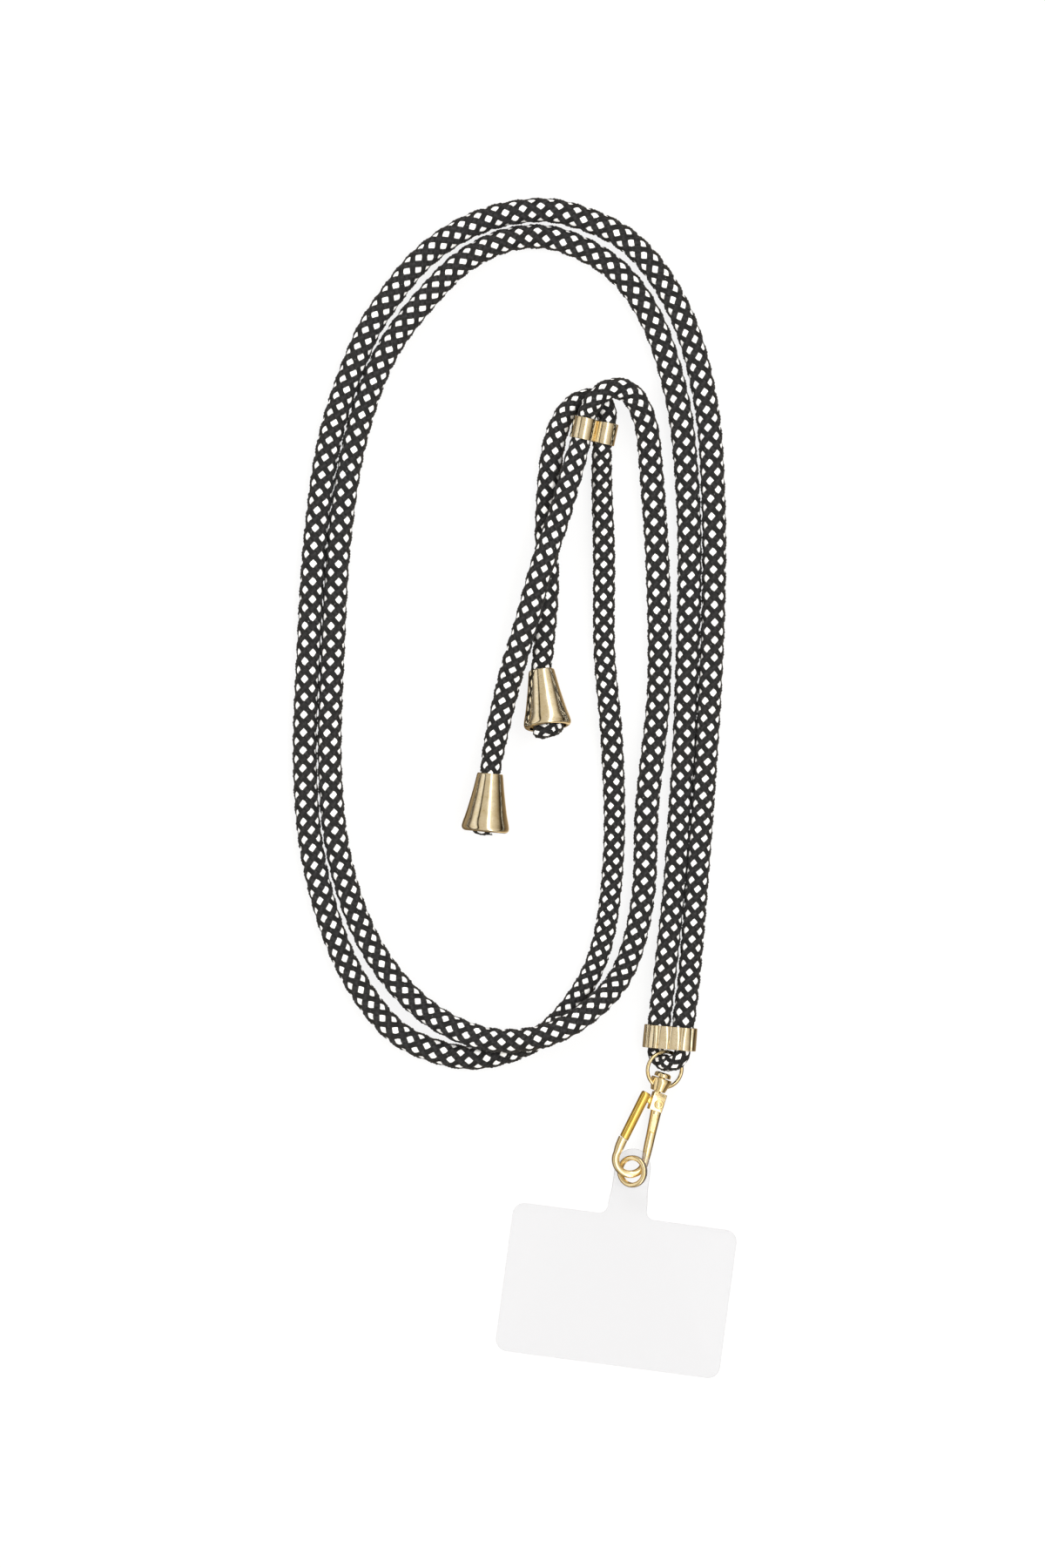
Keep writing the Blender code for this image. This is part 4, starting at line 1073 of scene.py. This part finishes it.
def hook():
    """Head with two cheeks, post, spine with its recess, bend and nose."""
    place = hook_frame()
    left = HEAD_X - HEAD_WIDTH / 2
    right = HEAD_X + HEAD_WIDTH / 2
    half = HEAD_THICK / 2
    bend = arc(*BEND_AT, BEND_R, BEND_FROM, BEND_TO, BEND_STEPS)
    top = -HEAD_LENGTH + HEAD_EDGE
    stations = []
    for along, thin in SPINE_SECTIONS:
        x = SPINE_X + (bend[0][0] - SPINE_X) * along
        y = top + (bend[0][1] - top) * along
        width = SPINE_WIDTH + (BEND_WIRE - SPINE_WIDTH) * thin
        stations.append((x, y, width, SPINE_THICK + (BEND_WIRE - SPINE_THICK) * thin))
    stations += [(x, y, BEND_WIRE, BEND_WIRE) for x, y in bend]
    stations.append((*NOSE_AT, GATE_WIDTH - NOSE_TAPER, GATE_WIDTH - 2 * NOSE_TAPER))
    stations.append((*NOSE_END, GATE_WIDTH, GATE_WIDTH - NOSE_TAPER))
    recess_top = -HEAD_LENGTH - RECESS_FROM_HEAD
    recess = (
        recess_top - RECESS_LENGTH,
        recess_top,
        RECESS_MIDDLE,
        RECESS_WIDTH,
        half - RECESS_DEPTH,
    )
    bar = swept(stations, place, HOOK_SQUARENESS, SEAM_SLANT, recess)

    def across_head(start, end, corner_r):
        """A plate as wide as the head, between two places along it."""
        corners = [(left, start), (left, end), (right, end), (right, start)]
        return eased(corners, corner_r)

    cheek = across_head(0, -HEAD_LENGTH, CHEEK_CORNER_R)
    bridge = across_head(0, -SLOT_FROM, BRIDGE_CORNER_R)
    sill = across_head(-HEAD_LENGTH + SLOT_FLOOR, -HEAD_LENGTH, SILL_EDGE_R)
    neck = GAP + BOSS_LENGTH + GAP
    end = neck + POST_HEAD_LENGTH
    length, depth = POST_CHAMFER
    post = [(-POST_ROOT, NEAR_AXIS), (-POST_ROOT, POST_R), (neck, POST_R), (neck, POST_HEAD_R)]
    post += [(end - length, POST_HEAD_R), (end, POST_HEAD_R - depth), (end, NEAR_AXIS)]
    form = joined(
        bar,
        slab(cheek, SLOT_THICK / 2, half, place, CHEEK_EDGE_R),
        slab(cheek, -half, -SLOT_THICK / 2, place, CHEEK_EDGE_R),
        slab(bridge, -half, half, place, BRIDGE_EDGE_R),
        slab(sill, -half + SILL_INSET, half - SILL_INSET, place, SILL_EDGE_R),
        turned(eased(post, POST_EDGE_R), place, sides=POST_SIDES),
    )
    metal("hook_casting", form, BRIGHT_GOLD, "yellow_gold", HOOK, "hook")


def gate_rivet():
    """The gate's pin: each head is domed inside a turned groove."""
    half = HEAD_THICK / 2 + RIVET_CLEAR
    end = half + RIVET_HEAD_LENGTH
    side = [(half, RIVET_R), (half, RIVET_HEAD_R)]
    side += [(end + rise, RIVET_HEAD_R * share) for rise, share in RIVET_FACE]
    profile = [(-along, radius) for along, radius in reversed(side)] + side
    lay_along_z = Matrix.Rotation(math.radians(90), 4, "X")
    place = hook_frame() @ Matrix.Translation((*PIVOT, 0)) @ lay_along_z
    form = turned(eased(profile, RIVET_EDGE_R), place, sides=RIVET_SIDES)
    metal("gate_pin", form, BRIGHT_GOLD, "yellow_gold", HOOK, "gate_rivet")


def gate():
    """A round bar on the tongue that turns on the rivet."""
    place = hook_frame()
    tx, ty = GATE_TOP
    ex, ey = GATE_END
    stations = []
    for share, swell in GATE_SECTIONS:
        width = GATE_WIDTH * swell
        stations.append((tx + (ex - tx) * share, ty + (ey - ty) * share, width, width))
    px, py = PIVOT
    reach = px - (tx + (ex - tx) / 6)
    drop = TONGUE_R / math.cos(GATE_OPEN) - reach * math.tan(GATE_OPEN)
    outline = arc(px, py, TONGUE_R, -90 - math.degrees(GATE_OPEN), 90, TONGUE_STEPS)
    outline += [(px - reach, py + TONGUE_R), (px - reach, py - drop)]
    thick = SLOT_THICK / 2 - GAP
    form = joined(
        swept(stations, place, GATE_SQUARENESS, SEAM_SLANT),
        slab(outline, -thick, thick, place, TONGUE_EDGE_R),
    )
    metal("gate_bar", form, YELLOW_GOLD, "yellow_gold", GATE, "gate")


def card_sheet():
    """The clear card with its edges rounded over, and its cut edge painted darker as painted shade.
    """
    mesh = bpy.data.meshes.new("card_sheet")
    work = bmesh.new()
    work.from_mesh(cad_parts["card"].data)
    bmesh.ops.remove_doubles(work, verts=work.verts, dist=1e-6)
    rims = [
        edge
        for edge in work.edges
        if edge.is_manifold and edge.calc_face_angle() > CARD_RIM_ANGLE
    ]
    offset = CARD_EDGE_R * MM
    bmesh.ops.bevel(work, geom=rims, offset=offset, segments=3, profile=0.5, affect="EDGES")
    bmesh.ops.recalc_face_normals(work, faces=work.faces)
    for face in work.faces:
        face.smooth = True
        # The cut edge takes the darker edge material, a painted shade.
        face.material_index = 1 if abs(face.normal.z) < CARD_EDGE_SLOPE else 0
    work.to_mesh(mesh)
    work.free()
    mesh.materials.append(CLEAR)
    mesh.materials.append(EDGE)
    made = new_object("card_sheet", mesh)
    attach(made, HOOK)
    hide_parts("card")


def grommet():
    """A rolled eyelet: a barrel through the card's tab with a round rim on each face."""
    turn = Matrix.Rotation(CARD_TURN, 3, "Z")
    side = turn @ Vector((math.cos(TAB_ROLL), 0, 0)) + Vector((0, 0, math.sin(TAB_ROLL)))
    along = turn @ Vector((0, 1, 0)) + Vector((0, 0, math.tan(TAB_PITCH)))
    normal = side.cross(along).normalized()
    centre = frame_at(CLASP_AT, 0, CLASP_TURN) @ Vector((*EYELET_AT, 0))
    place = Matrix((side, normal, side.cross(normal))).transposed().to_4x4()
    place.translation = (centre.x, centre.y, EYELET_HEIGHT)
    across = np.linspace(0, math.pi, EYELET_RIM_STEPS)
    heights = EYELET_FACE + EYELET_RIM_HEIGHT * np.sin(across)
    radii = EYELET_RIM_R - EYELET_RIM_WIDTH * np.cos(across)
    rim = list(zip(heights, radii))
    profile = rim + [(EYELET_FACE, EYELET_BARREL_R), (-EYELET_FACE, EYELET_BARREL_R)]
    profile += [(-height, radius) for height, radius in reversed(rim)]
    form = turned(profile, place)
    metal("grommet_ring", form, BRIGHT_GOLD, "yellow_gold", HOOK, "grommet")


# Camera, floor and lights

FLOOR_HALF = 6.0         # in metres, as all sizes here
FLOOR_DROP = 0.0002
FLOOR_FINISH = {
    "Base Color": (0.12, 0.12, 0.12, 1.0),
    "Roughness": 1.0,
    "Specular IOR Level": 0.0,
    "Emission Color": (1.0, 1.0, 1.0, 1.0),
    "Emission Strength": 0.86,
}
# Each lamp's name, place, size and power
LAMPS = (
    ("left", (-1.7, 0.5, 1.5), (0.9, 1.6), 28.0),
    ("right", (1.5, 0.2, 2.2), (1.1, 1.6), 36.0),
    ("far", (0.1, 2.2, 1.7), (1.6, 0.7), 13.0),
    ("near", (-0.1, -2.0, 1.9), (1.6, 0.5), 10.0),
)
# The sky's tones from straight down, 0, to overhead, 1
SKY_RISE = (
    (0.0, (0.36, 0.29, 0.20)),
    (0.42, (0.40, 0.34, 0.26)),
    (0.47, (0.12, 0.10, 0.08)),
    (0.54, (0.30, 0.29, 0.28)),
    (0.62, (1.0, 1.0, 1.0)),
    (1.0, (1.0, 1.0, 1.0)),
)
# And from its left side, 0, to its right side, 1: soft walls of light with dark flags between
SKY_ACROSS = (
    (0.0, (0.62, 0.55, 0.45)),
    (0.12, (0.95, 0.92, 0.86)),
    (0.175, (0.85, 0.80, 0.72)),
    (0.195, (0.05, 0.04, 0.025)),
    (0.235, (0.05, 0.04, 0.025)),
    (0.26, (0.62, 0.56, 0.46)),
    (0.5, (0.66, 0.60, 0.50)),
    (0.57, (0.80, 0.76, 0.68)),
    (0.6, (2.5, 2.5, 2.4)),
    (0.67, (2.5, 2.5, 2.4)),
    (0.71, (1.05, 1.0, 0.9)),
    (0.93, (0.50, 0.43, 0.33)),
    (1.0, (0.10, 0.08, 0.05)),
)


def camera():
    """It looks straight down, as the photograph was taken."""
    data = bpy.data.cameras.new("camera")
    data.sensor_width = SENSOR
    data.lens = SENSOR * CAMERA_HEIGHT / PHOTO_HEIGHT
    data.clip_end = CAMERA_REACH
    made = new_object("camera", data)
    made.location = (PHOTO_CENTRE[0] * MM, PHOTO_CENTRE[1] * MM, CAMERA_HEIGHT * MM)
    bpy.context.scene.camera = made


def floor():
    """A plain white floor, which glows so that it is as even as the photograph's ground."""
    mesh = bpy.data.meshes.new("floor")
    signs = ((-1, -1), (1, -1), (1, 1), (-1, 1))
    corners = [(FLOOR_HALF * x, FLOOR_HALF * y, 0) for x, y in signs]
    mesh.from_pydata(corners, [], [(0, 1, 2, 3)])
    made = new_object("floor", mesh)
    made.location.z = -FLOOR_DROP
    made.visible_glossy = False
    mesh.materials.append(shader("floor", FLOOR_FINISH)[0])


def softbox(name, place, size, power):
    """A wide lamp aimed at the plan's middle. What shines in the metal is the sky, not the lamp."""
    data = bpy.data.lights.new(name, "AREA")
    data.shape = "RECTANGLE"
    data.size, data.size_y = size
    data.energy = power
    made = new_object(name, data)
    made.location = place
    made.rotation_euler = (-Vector(place)).to_track_quat("-Z", "Y").to_euler()
    made.visible_glossy = False


def tones(tree, source, stops):
    """A colour ramp fed by a direction's part, which lies between -1 and 1."""
    level = node(tree, "ShaderNodeMapRange")
    level.inputs["From Min"].default_value = -1.0
    link(tree, *source, level, "Value")
    return ramp(tree, level, "Result", *stops)


def studio_sky():
    """A studio with soft walls of light overhead, and warm and dim below."""
    world = bpy.data.worlds.new("studio")
    world.use_nodes = True
    tree = world.node_tree
    place = node(tree, "ShaderNodeTexCoord")
    split = node(tree, "ShaderNodeSeparateXYZ")
    link(tree, place, "Generated", split, "Vector")
    rise = tones(tree, (split, "Z"), SKY_RISE)
    across = tones(tree, (split, "X"), SKY_ACROSS)
    both = mixed(tree, "MULTIPLY", rise.outputs["Color"], across.outputs["Color"])
    tree.links.new(both, tree.nodes["Background"].inputs["Color"])
    bpy.context.scene.world = world


def lights():
    """The lamps, and plain tones, so that the white floor comes out white."""
    for lamp in LAMPS:
        softbox(*lamp)
    bpy.context.scene.view_settings.view_transform = "Standard"


camera()
studio_sky()
upper_cap = cap_frame(UPPER_CAP_AT, UPPER_CAP_TURN, settled=True)
lower_cap = cap_frame(LOWER_CAP_AT, LOWER_CAP_TURN, settled=False)
upper_pieces = [end_cap("end_cap_upper", upper_cap)]
upper_pieces += end_knot("end_knot_upper", upper_cap, UPPER_KNOT_SHOWS, UPPER_KNOT_R)
lower_pieces = [end_cap("end_cap_lower", lower_cap)]
lower_pieces += end_knot("end_knot_lower", lower_cap, LOWER_KNOT_SHOWS, LOWER_KNOT_R)
strand("strand_outer", OUTER_ROUTE, 1, upper_cap, UPPER_KNOT_TOP)
strand("strand_inner", INNER_ROUTE, -1, lower_cap, LOWER_KNOT_TOP)
rope_loop()
ferrule()
slider()
swivel()
card_sheet()
hook()
gate_rivet()
gate()
grommet()
floor()
lights()
